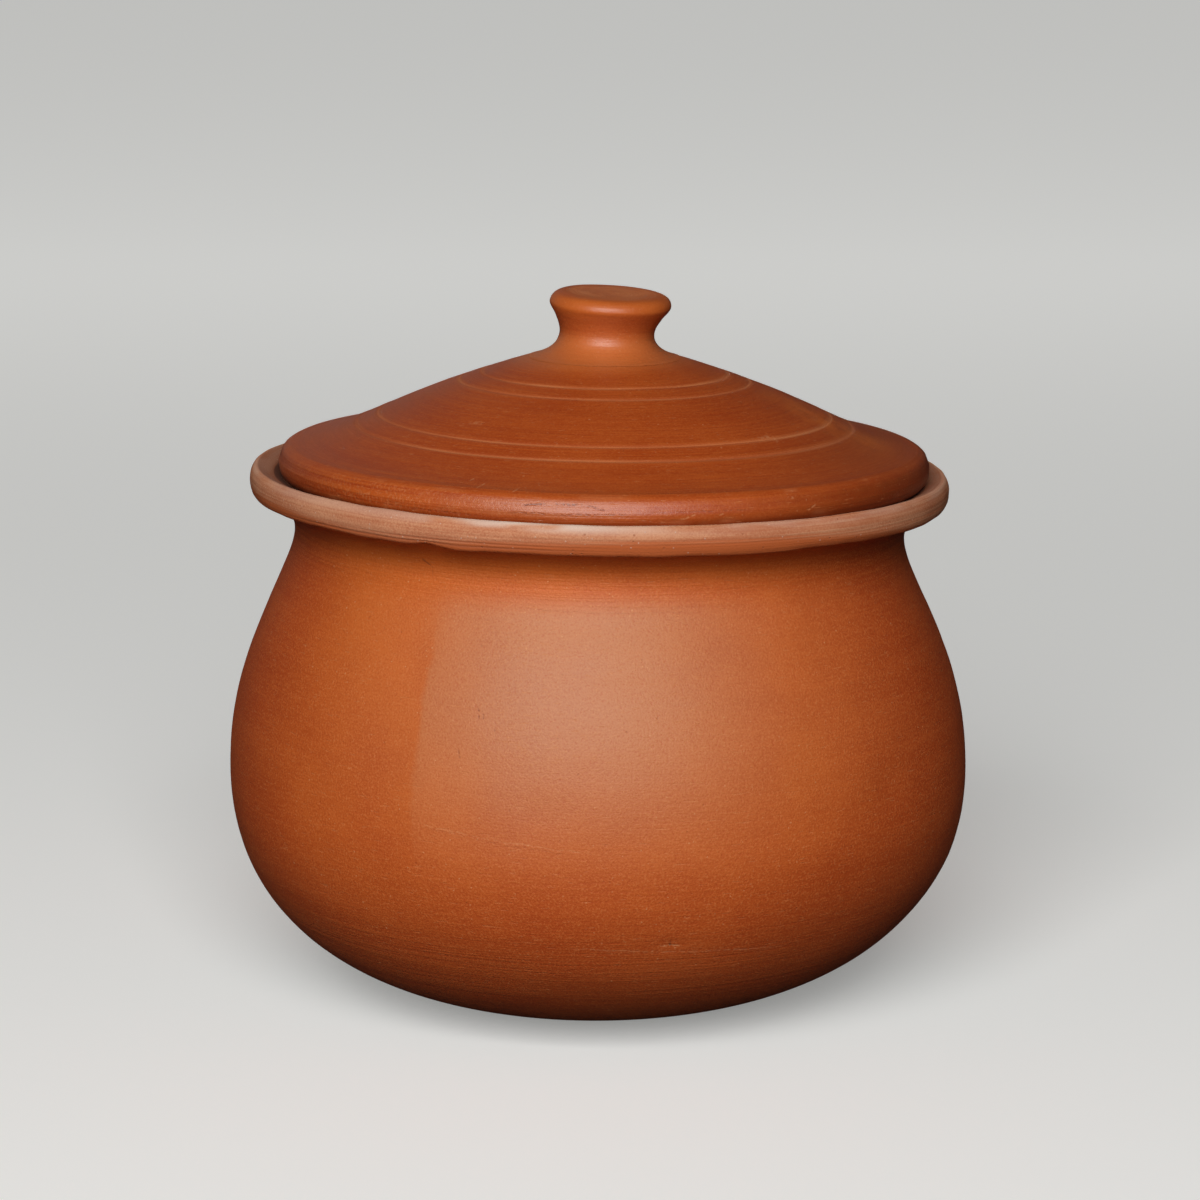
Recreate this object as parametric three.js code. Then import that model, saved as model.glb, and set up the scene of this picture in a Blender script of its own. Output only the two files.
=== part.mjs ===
import * as THREE from "three";

// A round-bellied curd pot of red clay with a loose domed lid, thrown and luted by hand.
// Millimetres, +Z up. The origin is the middle of the flat that the pot stands on.

// Pot body: a bowl that swells to the belly and draws in to the neck; a fullness is the reach of a curve's handle
const BASE_RADIUS = 24;
const BASE_FULLNESS = 21;
const BELLY_RADIUS = 78;
const BELLY_HEIGHT = 46.5;
const BELLY_FULLNESS_BELOW = 34;
const BELLY_FULLNESS_ABOVE = 17.4;
const SHOULDER_RISE = 43.5;
const SHOULDER_STEP = 2;
const SHOULDER_SLOPE = THREE.MathUtils.degToRad(24);
const SHOULDER_FULLNESS = 15.5;
const NECK_RADIUS = 63.8;
const NECK_RISE = 7.5;
const WALL = 6;
const FLOOR = 8;

// Flange that the neck flares to, and the collar of bare clay luted on it
const FLANGE_RISE = 6.5;
const FLANGE_OVERHANG = 6.6;
const FLARE_DROP = 2.2;
const MOUTH_STEP = 5.5;
const LUTING_GAP = 0.3;
const COLLAR_LAP = 0.9;
const COLLAR_BULGE = 1.6;
const COLLAR_HEIGHT = 5.95;
const LIP_THICKNESS = 1.6;

// Lid: a shallow dome; its thick edge leans in above and is bevelled below to sit on the slope inside the collar
const LID_INSET = 3.55;
const LID_GAP = 0.3;
const LID_WALL = 6;
const EDGE_HEIGHT = 6.7;
const EDGE_WIDTH = 8.8;
const EDGE_ROUND_BELOW = 1.2;
const EDGE_ROUND_ABOVE = 2.8;
const EDGE_FACE_RISE = 1.8;
const EDGE_FACE_LEAN = 0.7;
const BEVEL_WIDTH = 2.4;
const BRIM_WIDTH = 18.45;
const BRIM_RISE = 5.2;
const BRIM_FLAT = 5.2;
const BRIM_FLAT_RISE = 0.5;
const DOME_RISE = 13.2;
const DOME_BOW = 0.7;

// Two pairs of fine rings cut into the lid: one pair astride the crease, one out from the foot of the knob
const RING_PAIR_SPACING = 4.6;
const RING_PAIR_FROM_KNOB = 13.2;
const RING_WIDTH = 0.9;
const RING_DEPTH = 0.35;

// Knob: a turned grip luted to the flat crown of the dome
const KNOB_FOOT_RADIUS = 14.4;
const KNOB_FOOT_EDGE = 0.3;
const KNOB_FOOT_SPREAD = 0.9;
const WAIST_RADIUS = 9.85;
const WAIST_HEIGHT = 4.4;
const HEAD_RADIUS = 12.6;
const HEAD_RISE = 6;
const HEAD_FULLNESS = 2.4;
const HEAD_ROUND = 3.4;
const TOP_RISE = 2.3;
const TOP_DISH = 0.3;

// How far the hand-built pieces stray from true: sideways along X, and tipped about Y
const NECK_DRIFT = 0.7;
const RIM_TIP = THREE.MathUtils.degToRad(1.15);
const LID_SHIFT = 0.9;
const DOME_DRIFT = -0.2;
const KNOB_LEAN = THREE.MathUtils.degToRad(6);
const KNOB_TIP = THREE.MathUtils.degToRad(2.4);

// Finishes: burnished slip over the pot and over its lid, and the bare clay of the collar
const POT_SLIP = { color: 0xb8602e, roughness: 0.55 };
const LID_SLIP = { color: 0xa8502a, roughness: 0.45 };
const BARE_CLAY = { color: 0xc88a68, roughness: 0.85 };

// Facets round each piece, and steps along the curves of its profile
const POT_SEGMENTS = 60;
const KNOB_SEGMENTS = 40;
const LONG_STEPS = 12;
const CURVE_STEPS = 8;
const SHORT_STEPS = 4;

// Places worked out from the sizes above; the rim is measured from the flange, and the lid from its bevel
const shoulderHeight = BELLY_HEIGHT + SHOULDER_RISE;
const neckHeight = shoulderHeight + NECK_RISE;
const flangeHeight = neckHeight + FLANGE_RISE;
const flangeRadius = NECK_RADIUS + FLANGE_OVERHANG;
const mouthRadius = NECK_RADIUS - MOUTH_STEP;
const collarRadius = flangeRadius + COLLAR_LAP + COLLAR_BULGE;
const crestRadius = collarRadius - LIP_THICKNESS;
const seatSlope = Math.atan2(COLLAR_HEIGHT, crestRadius - mouthRadius);
const lidRadius = crestRadius - LID_INSET;
const bevelRadius = lidRadius - EDGE_ROUND_BELOW;
const lidSeatHeight = (bevelRadius - mouthRadius) * Math.tan(seatSlope) + LID_GAP / Math.cos(seatSlope);
const creaseRadius = lidRadius - BRIM_WIDTH;
const creaseHeight = EDGE_HEIGHT + BRIM_RISE;
const brimSteepness = BRIM_RISE / (BRIM_WIDTH - EDGE_ROUND_ABOVE);
const crownRadius = KNOB_FOOT_RADIUS + LUTING_GAP;
const crownHeight = creaseHeight + DOME_RISE;
const headHeight = WAIST_HEIGHT + HEAD_RISE;
const knobHeight = headHeight + TOP_RISE;

/** A point of a profile: distance from the axis, and height. */
function at(radius, height) {
  return new THREE.Vector2(radius, height);
}

/** The points of a drawn curve, without its first one, which the stretch before it already has. */
function along(curve, steps) {
  return curve.getPoints(steps).slice(1);
}

/** A gentle curve between two points that stands off its chord by a height, to the left of the way it runs. */
function bowed(from, to, height, steps) {
  const across = at(from.y - to.y, to.x - from.x).normalize();
  const handle = from.clone().add(to).multiplyScalar(0.5).addScaledVector(across, 2 * height);
  return along(new THREE.QuadraticBezierCurve(from, handle, to), steps);
}

/** A bend between two points, drawn in towards the corner that their two directions meet at. */
function bend(from, corner, to, steps) {
  return along(new THREE.QuadraticBezierCurve(from, corner, to), steps);
}

/** Turns a profile about the Z axis into a closed solid whose faces point out. */
function turned(profile, segments) {
  return new THREE.LatheGeometry(profile, segments).rotateX(Math.PI / 2);
}

/** Lets each level of a turned piece drift along X and tip about Y, as soft clay does while it is worked. */
function settled(geometry, drift, tip) {
  const place = geometry.attributes.position;
  for (let i = 0; i < place.count; i++) {
    const x = place.getX(i);
    const z = place.getZ(i);
    place.setX(i, x + drift(z));
    place.setZ(i, z - x * Math.tan(tip(z)));
  }
  geometry.computeVertexNormals();
  return geometry;
}

/** A sub-part: its node name, its solid, and the finish of its surface. */
function piece(name, geometry, finish) {
  const mesh = new THREE.Mesh(geometry, new THREE.MeshStandardMaterial(finish));
  mesh.name = name;
  return mesh;
}

/** One side of the bowl's wall, from the edge of its floor up to the neck, drawn in from outside by an inset. */
function bowlWall(inset, floor) {
  const base = at(BASE_RADIUS, floor);
  const belly = at(BELLY_RADIUS - inset, BELLY_HEIGHT);
  const shoulder = at(NECK_RADIUS + SHOULDER_STEP - inset, shoulderHeight);
  const neck = at(NECK_RADIUS - inset, neckHeight);
  const downTheShoulder = at(Math.sin(SHOULDER_SLOPE), -Math.cos(SHOULDER_SLOPE));
  const under = new THREE.CubicBezierCurve(
    base,
    at(base.x + BASE_FULLNESS - inset, floor),
    at(belly.x, belly.y - BELLY_FULLNESS_BELOW),
    belly,
  );
  const over = new THREE.CubicBezierCurve(
    belly,
    at(belly.x, belly.y + BELLY_FULLNESS_ABOVE),
    shoulder.clone().addScaledVector(downTheShoulder, SHOULDER_FULLNESS),
    shoulder,
  );
  const neckTurn = at(neck.x, shoulder.y + SHOULDER_STEP / Math.tan(SHOULDER_SLOPE));
  return [
    base,
    ...along(under, LONG_STEPS),
    ...along(over, CURVE_STEPS),
    ...bend(shoulder, neckTurn, neck, SHORT_STEPS),
  ];
}

/** The bowl with its flanged neck; its base stays flat while the neck drifts and tips. */
function potBody() {
  const outside = bowlWall(0, 0);
  const inside = bowlWall(WALL, FLOOR).reverse();
  const neck = outside[outside.length - 1];
  const flange = at(flangeRadius, flangeHeight);
  const mouth = at(mouthRadius, flangeHeight);
  const throat = inside[0];
  const profile = [
    at(0, 0),
    ...outside,
    ...bend(neck, at(neck.x, flangeHeight - FLARE_DROP), flange, SHORT_STEPS),
    mouth,
    ...bend(mouth, at(throat.x, flangeHeight - FLARE_DROP), throat, SHORT_STEPS),
    ...inside.slice(1),
    at(0, FLOOR),
  ];
  const risen = (z) => THREE.MathUtils.smoothstep(z, FLOOR, neckHeight);
  return settled(turned(profile, POT_SEGMENTS), (z) => NECK_DRIFT * risen(z), (z) => RIM_TIP * risen(z));
}

/** The collar on the flange: a rolled outer face up to the crest, and the slope inside that the lid sits on. */
function rimCollar() {
  const foot = at(flangeRadius + COLLAR_LAP, 0);
  const swell = at(collarRadius, COLLAR_HEIGHT / 2);
  const roll = new THREE.EllipseCurve(crestRadius, swell.y, LIP_THICKNESS, swell.y, 0, Math.PI / 2);
  const profile = [
    foot,
    ...bend(foot, at(collarRadius, 0), swell, SHORT_STEPS),
    ...along(roll, CURVE_STEPS),
    at(mouthRadius, 0),
    foot.clone(),
  ];
  return turned(profile, POT_SEGMENTS);
}

/** Cuts a fine ring into a profile that runs inwards: the points across the ring give way to a V. */
function ringed(profile, radius) {
  const outerEdge = radius + RING_WIDTH / 2;
  const innerEdge = radius - RING_WIDTH / 2;
  const heightAt = (r) => {
    const next = profile.findIndex((p) => p.x <= r);
    const share = (r - profile[next].x) / (profile[next - 1].x - profile[next].x);
    return THREE.MathUtils.lerp(profile[next].y, profile[next - 1].y, share);
  };
  return [
    ...profile.filter((p) => p.x > outerEdge),
    at(outerEdge, heightAt(outerEdge)),
    at(radius, heightAt(radius) - RING_DEPTH),
    at(innerEdge, heightAt(innerEdge)),
    ...profile.filter((p) => p.x < innerEdge),
  ];
}

/** The corner that the leaning face of the lid's edge and the slope of the brim would meet at. */
function cornerAbove(faceFoot, faceTop, shoulder) {
  const lean = (faceFoot.x - faceTop.x) / (faceTop.y - faceFoot.y);
  const drop = shoulder.y - faceTop.y - (faceTop.x - shoulder.x) * brimSteepness;
  const rise = drop / (1 - lean * brimSteepness);
  return at(faceTop.x - lean * rise, faceTop.y + rise);
}

/** The lid: a hollow dome on a sloping brim, whose thick edge is bevelled below to lie along the seat. */
function lidDome() {
  const bevel = at(bevelRadius, 0);
  const toe = at(bevelRadius - BEVEL_WIDTH, -BEVEL_WIDTH * Math.tan(seatSlope));
  const rimmost = at(lidRadius, EDGE_HEIGHT / 2);
  const faceTop = at(lidRadius - EDGE_FACE_LEAN, rimmost.y + EDGE_FACE_RISE);
  const shoulder = at(lidRadius - EDGE_ROUND_ABOVE, EDGE_HEIGHT);
  const crease = at(creaseRadius, creaseHeight);
  const crown = at(crownRadius, crownHeight);
  const underCrown = at(crown.x, crown.y - LID_WALL);
  const underCrease = at(crease.x, crease.y - LID_WALL);
  const heelRise = (EDGE_WIDTH - EDGE_ROUND_ABOVE) * brimSteepness;
  const heel = at(lidRadius - EDGE_WIDTH, EDGE_HEIGHT + heelRise - LID_WALL);
  const pairs = [creaseRadius, crownRadius + RING_PAIR_FROM_KNOB];
  const rings = pairs.flatMap((middle) => [middle + RING_PAIR_SPACING / 2, middle - RING_PAIR_SPACING / 2]);
  const top = [
    shoulder,
    ...bend(shoulder, at(shoulder.x - BRIM_FLAT, shoulder.y + BRIM_FLAT_RISE), crease, SHORT_STEPS),
    ...bowed(crease, crown, -DOME_BOW, CURVE_STEPS),
  ];
  const profile = [
    at(0, underCrown.y),
    underCrown,
    ...bowed(underCrown, underCrease, DOME_BOW, SHORT_STEPS),
    heel,
    ...bend(heel, at(heel.x, toe.y), toe, SHORT_STEPS),
    bevel,
    ...bend(bevel, at(lidRadius, EDGE_ROUND_BELOW * Math.tan(seatSlope)), rimmost, SHORT_STEPS),
    faceTop,
    ...bend(faceTop, cornerAbove(rimmost, faceTop, shoulder), shoulder, SHORT_STEPS),
    ...rings.reduce(ringed, top).slice(1),
    at(0, crown.y),
  ];
  const risen = (z) => THREE.MathUtils.smoothstep(z, EDGE_HEIGHT, creaseHeight);
  return settled(turned(profile, POT_SEGMENTS), (z) => DOME_DRIFT * risen(z), () => 0);
}

/** The knob: a spread foot, a finger waist and a rounded head with a faintly dished top. */
function lidKnob() {
  const footEdge = at(KNOB_FOOT_RADIUS, KNOB_FOOT_EDGE);
  const waist = at(WAIST_RADIUS, WAIST_HEIGHT);
  const head = at(HEAD_RADIUS, headHeight);
  const top = at(HEAD_RADIUS - HEAD_ROUND, knobHeight);
  const grip = new THREE.CubicBezierCurve(
    waist,
    at(waist.x, waist.y + HEAD_FULLNESS),
    at(head.x, head.y - HEAD_FULLNESS),
    head,
  );
  const profile = [
    at(0, 0),
    at(KNOB_FOOT_RADIUS, 0),
    footEdge,
    ...bend(footEdge, at(waist.x, KNOB_FOOT_SPREAD), waist, SHORT_STEPS),
    ...along(grip, CURVE_STEPS),
    ...bend(head, at(head.x, top.y), top, SHORT_STEPS),
    at(0, top.y - TOP_DISH),
  ];
  const risen = (z) => THREE.MathUtils.smoothstep(z, KNOB_FOOT_EDGE, headHeight);
  return settled(
    turned(profile, KNOB_SEGMENTS),
    (z) => Math.tan(KNOB_LEAN) * z,
    (z) => KNOB_TIP * risen(z),
  );
}

// The knob stands on the crown, the lid lies on the seat, and both tip with the rim.
// A lid that slides sideways on the sloped seat climbs on that side.
const knob = new THREE.Group();
knob.position.set(DOME_DRIFT, 0, crownHeight + LUTING_GAP);
knob.add(piece("lid_knob", lidKnob(), LID_SLIP));

const lid = new THREE.Group();
lid.position.set(LID_SHIFT, 0, lidSeatHeight);
lid.rotation.y = -Math.atan2(LID_SHIFT * Math.tan(seatSlope), bevelRadius);
lid.add(piece("lid_dome", lidDome(), LID_SLIP), knob);

const rim = new THREE.Group();
rim.position.set(NECK_DRIFT, 0, flangeHeight + LUTING_GAP);
rim.rotation.y = RIM_TIP;
rim.add(piece("rim_collar", rimCollar(), BARE_CLAY), lid);

const curdPot = new THREE.Group();
curdPot.name = "curd_pot";
curdPot.add(piece("pot_body", potBody(), POT_SLIP), rim);

export default curdPot;
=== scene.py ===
"""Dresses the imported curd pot: a burnished terracotta bowl, its collar of bare clay and its domed lid.

The classes give lengths in millimetres and angles in degrees. An angle around the pot is counted to the right
of its front, which faces -Y.
"""

import itertools
import logging
import math
from dataclasses import astuple, dataclass
from enum import Enum
from typing import Any, Mapping, Optional, Sequence, Union

import bpy
import numpy as np
from mathutils import Matrix, Vector


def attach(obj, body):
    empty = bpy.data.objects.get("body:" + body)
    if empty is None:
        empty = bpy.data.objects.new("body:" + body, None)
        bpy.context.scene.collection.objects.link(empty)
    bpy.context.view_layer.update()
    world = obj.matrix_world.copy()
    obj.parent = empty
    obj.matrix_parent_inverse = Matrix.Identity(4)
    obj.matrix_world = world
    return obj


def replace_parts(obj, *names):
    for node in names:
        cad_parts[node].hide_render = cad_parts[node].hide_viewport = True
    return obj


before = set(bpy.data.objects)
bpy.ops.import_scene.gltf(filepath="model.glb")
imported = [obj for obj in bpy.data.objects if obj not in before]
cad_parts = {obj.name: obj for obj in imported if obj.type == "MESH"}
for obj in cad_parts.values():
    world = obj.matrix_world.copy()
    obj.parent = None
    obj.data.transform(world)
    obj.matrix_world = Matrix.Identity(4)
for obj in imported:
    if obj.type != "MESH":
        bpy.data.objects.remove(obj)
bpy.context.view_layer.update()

MM = 0.001
log = logging.getLogger("curd_pot")

Colour = tuple[float, float, float]
Spot = tuple[float, float]
Span = tuple[float, float]
# A zone fades in over its first span and out over its second one.
Zone = tuple[Span, Span]


class Body(Enum):
    """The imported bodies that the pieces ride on."""

    POT = "pot"
    LID = "lid"


class Slot(Enum):
    """The record's material slots."""

    POT_SLIP = "pot_slip"
    BARE_CLAY = "bare_clay"
    LID_SLIP = "lid_slip"


class Layer(Enum):
    """What every point of a turned mesh tells its shader.

    LAY is its place on the wheel: twice around, and once along the profile. BARE is 1 where no slip was
    brushed, CUT is 1 in a line cut into the clay, and WORN is 1 where it is dusty or its slip is thin. The
    seat layer is 1 where shade is painted: under and beside the lid's edge, and on the collar's seat, which
    is stained as well, with a painted shadow where the lid's edge comes down.
    """

    LAY = "lay"
    BARE = "bare"
    CUT = "cut"
    WORN = "worn"
    SHADE_AND_STAIN = "seat"


def eased(value: np.ndarray, low: float, high: float) -> np.ndarray:
    """Rises smoothly from 0 at the low value to 1 at the high one."""
    share = np.clip((value - low) / (high - low), 0.0, 1.0)
    return share * share * (3.0 - 2.0 * share)


def within(value: np.ndarray, zone: Zone) -> np.ndarray:
    """Is 1 inside a zone and fades to 0 outside it."""
    return eased(value, *zone[0]) * (1.0 - eased(value, *zone[1]))


def hump(value: np.ndarray, middle: float, reach: float) -> np.ndarray:
    """A smooth hump that is 1 at its middle."""
    return np.exp(-(((value - middle) / reach) ** 2))


class SoftNoise:
    """Smooth noise over space between -1 and 1, the same on every run."""

    ENTRIES = 4096
    STRIDES = np.array([73856093, 19349663, 83492791])

    def __init__(self, seed: int) -> None:
        """Fills the lattice from a seed."""
        self.lattice = np.random.default_rng(seed).uniform(-1.0, 1.0, self.ENTRIES)

    def __call__(self, points: np.ndarray) -> np.ndarray:
        """Reads the noise at an array of points.

        Args:
            points: Places, three numbers each along the last axis, one lattice cell per unit.

        Returns:
            One value for each point.
        """
        cell = np.floor(points).astype(np.int64)
        share = points - cell
        share = share * share * (3.0 - 2.0 * share)
        total = np.zeros(points.shape[:-1])
        for corner in itertools.product((0, 1), repeat=3):
            keys = (cell + np.array(corner)) * self.STRIDES
            entry = (keys[..., 0] ^ keys[..., 1] ^ keys[..., 2]) % self.ENTRIES
            weight = np.where(np.array(corner) == 1, share, 1.0 - share).prod(axis=-1)
            total += weight * self.lattice[entry]
        return total


class Profile:
    """The outline that a piece is turned to, drawn stretch by stretch as radius and height.

    Attributes:
        STEPS: How many points a stretch is drawn with.
        DRAWN: The distance between points when the corners are rounded.
        REACH: How many times the softness the rounding reaches.
        SHARPEST_TURN: The sharpest turn from row to row, in degrees.
    """

    STEPS = 400
    DRAWN = 0.08
    REACH = 4
    SHARPEST_TURN = 9.0

    def __init__(self, start: Spot, closed: bool = False) -> None:
        """Puts the pen down.

        Args:
            start: The first point.
            closed: Whether the outline comes back to its start, as a ring's does, and never meets the axis.
        """
        self.drawn = [np.array([start], float)]
        self.closed = closed

    def to(self, *handles: Spot) -> "Profile":
        """Draws on from the last point.

        Args:
            handles: One point for a straight line, or the handles of a curve and then its end.

        Returns:
            The same profile, so that stretches can be chained.
        """
        knots = np.array([self.drawn[-1][-1], *handles], float)
        share = np.linspace(0.0, 1.0, self.STEPS)[1:, None]
        degree = len(knots) - 1
        weights = [math.comb(degree, k) * share**k * (1.0 - share) ** (degree - k) for k in range(degree + 1)]
        self.drawn.append(sum(weight * knot for weight, knot in zip(weights, knots)))
        return self

    def score(self, radius: float, width: float, depth: float, stretches: int) -> None:
        """Cuts a fine ring into the last stretches, which run inwards over the top of a piece.

        Args:
            radius: Where the ring is deepest.
            width: How wide it is.
            depth: How deep it is.
            stretches: How many of the last stretches it may lie in.
        """
        for stretch in self.drawn[-stretches:]:
            stretch[:, 1] -= depth * np.clip(1.0 - np.abs(stretch[:, 0] - radius) * 2.0 / width, 0.0, 1.0)

    def rows(self, step: float, softness: float) -> np.ndarray:
        """Rounds the corners as fingers do and spaces the points, closer together where the outline turns.

        Args:
            step: The longest distance between rows.
            softness: How far the rounding reaches.

        Returns:
            Radius and height of each row.
        """
        points = np.vstack(self.drawn)
        length = np.concatenate([[0.0], np.cumsum(np.linalg.norm(np.diff(points, axis=0), axis=1))])
        even = np.linspace(0.0, length[-1], int(length[-1] / self.DRAWN))
        fine = np.stack([np.interp(even, length, points[:, k]) for k in (0, 1)], axis=1)
        reach = int(self.REACH * softness / self.DRAWN)
        weights = np.exp(-0.5 * (np.arange(-reach, reach + 1) * self.DRAWN / softness) ** 2)
        weights /= weights.sum()
        if self.closed:
            padded = np.vstack([fine[-reach - 1 : -1], fine, fine[1 : reach + 1]])
        else:
            across = np.array([-1.0, 1.0])
            padded = np.vstack([fine[reach:0:-1] * across, fine, fine[-2 : -reach - 2 : -1] * across])
        soft = np.stack([np.convolve(padded[:, k], weights, "valid") for k in (0, 1)], axis=1)
        ways = np.unwrap(np.arctan2(np.gradient(soft[:, 1]), np.gradient(soft[:, 0])))
        need = self.DRAWN / step + np.abs(np.gradient(ways)) / math.radians(self.SHARPEST_TURN)
        spent = np.concatenate([[0.0], np.cumsum(need)[1:]])
        stops = np.linspace(0.0, spent[-1], int(spent[-1]) + 1)
        chosen = np.stack([np.interp(stops, spent, soft[:, k]) for k in (0, 1)], axis=1)
        return chosen[:-1] if self.closed else chosen


@dataclass(frozen=True)
class Fineness:
    """How finely a profile is turned.

    Attributes:
        columns: How many points go round.
        step: The longest distance between rows.
        softness: How far the corners are rounded.
    """

    columns: int
    step: float
    softness: float


@dataclass(frozen=True)
class Uneven:
    """One kind of unevenness in the clay.

    Attributes:
        height: How far it moves the clay.
        length: The size of its lumps, or the length of its bands along the wheel's turn.
        width: The width of its bands; lumps have none.
    """

    height: float
    length: float
    width: Optional[float] = None


class Turning:
    """A profile turned about the Z axis, to be worked by hand, settled and made into a mesh.

    Attributes:
        WHEEL: The radius at which the lay goes round.
    """

    WHEEL = 60.0

    def __init__(self, profile: Profile, fineness: Fineness) -> None:
        """Turns the profile.

        Args:
            profile: The outline, which runs with the clay on its left.
            fineness: How finely it is turned.
        """
        rows = profile.rows(fineness.step, fineness.softness)
        columns = fineness.columns
        self.closed = profile.closed
        self.radius, self.height = rows[:, :1], rows[:, 1:]
        self.run = np.concatenate([[0.0], np.cumsum(np.linalg.norm(np.diff(rows, axis=0), axis=1))])[:, None]
        self.around = np.arange(columns) * 360.0 / columns - 180.0
        sine, cosine = np.sin(np.radians(self.around)), np.cos(np.radians(self.around))
        flat = np.ones((len(rows), columns))
        self.points = np.stack([self.radius * sine, -self.radius * cosine, self.height * flat], axis=-1)
        self.lay = np.stack([self.WHEEL * sine * flat, -self.WHEEL * cosine * flat, self.run * flat], axis=-1)
        if self.closed:
            tangent = np.roll(rows, -1, axis=0) - np.roll(rows, 1, axis=0)
        else:
            tangent = np.gradient(rows, axis=0)
        tangent /= np.linalg.norm(tangent, axis=1, keepdims=True)
        outward, upward = tangent[:, 1:], -tangent[:, :1]
        self.normals = np.stack([outward * sine, -outward * cosine, upward * flat], axis=-1)

    def past(self, radius: float, height: float, reach: float) -> np.ndarray:
        """A mask of the rows past a point of the profile, which rises over a reach to either side of it."""
        row = int(np.argmin((self.radius - radius) ** 2 + (self.height - height) ** 2))
        return eased(self.run, self.run[row, 0] - reach, self.run[row, 0] + reach)

    def bands(self, noise: SoftNoise, length: float, width: float) -> np.ndarray:
        """Noise drawn out along the wheel's turn."""
        return noise(self.lay / np.array([length, length, width]))

    def lumps(self, noise: SoftNoise, size: float) -> np.ndarray:
        """Noise as broad as it is high."""
        return noise(self.points / size)

    def uneven(
        self, noise: SoftNoise, kinds: Sequence[Uneven], start: Union[float, np.ndarray] = 0.0
    ) -> np.ndarray:
        """Adds kinds of unevenness up.

        Args:
            noise: The noise that they are drawn from.
            kinds: What is added.
            start: What they are added to.

        Returns:
            How far the clay moves in all.
        """
        total = start
        for kind in kinds:
            if kind.width is None:
                soft = self.lumps(noise, kind.length)
            else:
                soft = self.bands(noise, kind.length, kind.width)
            total = total + kind.height * soft
        return total

    def press(self, relief: np.ndarray) -> None:
        """Moves the surface along its normals, out where the relief is positive."""
        self.points += np.broadcast_to(relief, self.points.shape[:-1])[..., None] * self.normals

    def settle(self, drift: np.ndarray, tip: np.ndarray) -> None:
        """Shifts each row along X and tips it about Y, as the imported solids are.

        Args:
            drift: How far each row moves.
            tip: The angle of each row.
        """
        x = self.points[..., 0].copy()
        self.points[..., 0] += drift
        self.points[..., 2] -= x * np.tan(np.radians(tip))

    def place(self, matrix: Matrix) -> None:
        """Moves the whole turning into the shared frame."""
        self.points = self.points @ np.array(matrix.to_3x3()).T + np.array(matrix.translation)

    def mesh(self, name: str, layers: Mapping[Layer, np.ndarray]) -> bpy.types.Object:
        """Makes the turning into a smooth closed mesh.

        Args:
            name: The piece's name.
            layers: The masks that its shader reads, over rows and columns; one left out is 0.

        Returns:
            The new object, in metres.
        """
        rows, columns = self.points.shape[:2]
        if self.closed:
            grid = np.arange(rows * columns).reshape(rows, columns)
            grid = np.vstack([grid, grid[:1]])
            kept, tips = slice(0, rows), []
        else:
            grid = np.arange((rows - 2) * columns).reshape(rows - 2, columns)
            kept, tips = slice(1, rows - 1), [0, rows - 1]
        beside = np.roll(grid, -1, axis=1)
        faces = np.stack([grid[:-1], beside[:-1], beside[1:], grid[1:]], axis=-1).reshape(-1, 4).tolist()
        if tips:
            first, last = grid.size, grid.size + 1
            faces += [[first, b, a] for a, b in zip(grid[0].tolist(), beside[0].tolist())]
            faces += [[last, a, b] for a, b in zip(grid[-1].tolist(), beside[-1].tolist())]

        def listed(values: np.ndarray) -> np.ndarray:
            """Lists what the mesh carries, point by point.

            Args:
                values: What is listed, over rows and columns.

            Returns:
                One entry for each point.
            """
            whole = np.broadcast_to(values, (rows, columns, values.shape[-1]))
            ends = [whole[k].mean(axis=0)[None] for k in tips]
            return np.vstack([whole[kept].reshape(-1, values.shape[-1]), *ends])

        data = bpy.data.meshes.new(name)
        data.from_pydata((listed(self.points) * MM).tolist(), [], faces)
        data.polygons.foreach_set("use_smooth", [True] * len(data.polygons))
        lay = data.attributes.new(Layer.LAY.value, "FLOAT_VECTOR", "POINT")
        lay.data.foreach_set("vector", listed(self.lay).astype(np.float32).ravel())
        for layer in (Layer.BARE, Layer.CUT, Layer.WORN, Layer.SHADE_AND_STAIN):
            mask = layers.get(layer, np.zeros((1, 1)))
            made = data.attributes.new(layer.value, "FLOAT", "POINT")
            made.data.foreach_set("value", listed(mask[..., None]).astype(np.float32).ravel())
        data.update()
        piece = bpy.data.objects.new(name, data)
        bpy.context.scene.collection.objects.link(piece)
        return piece


Feed = Union["Wire", float, Sequence[float]]


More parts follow.
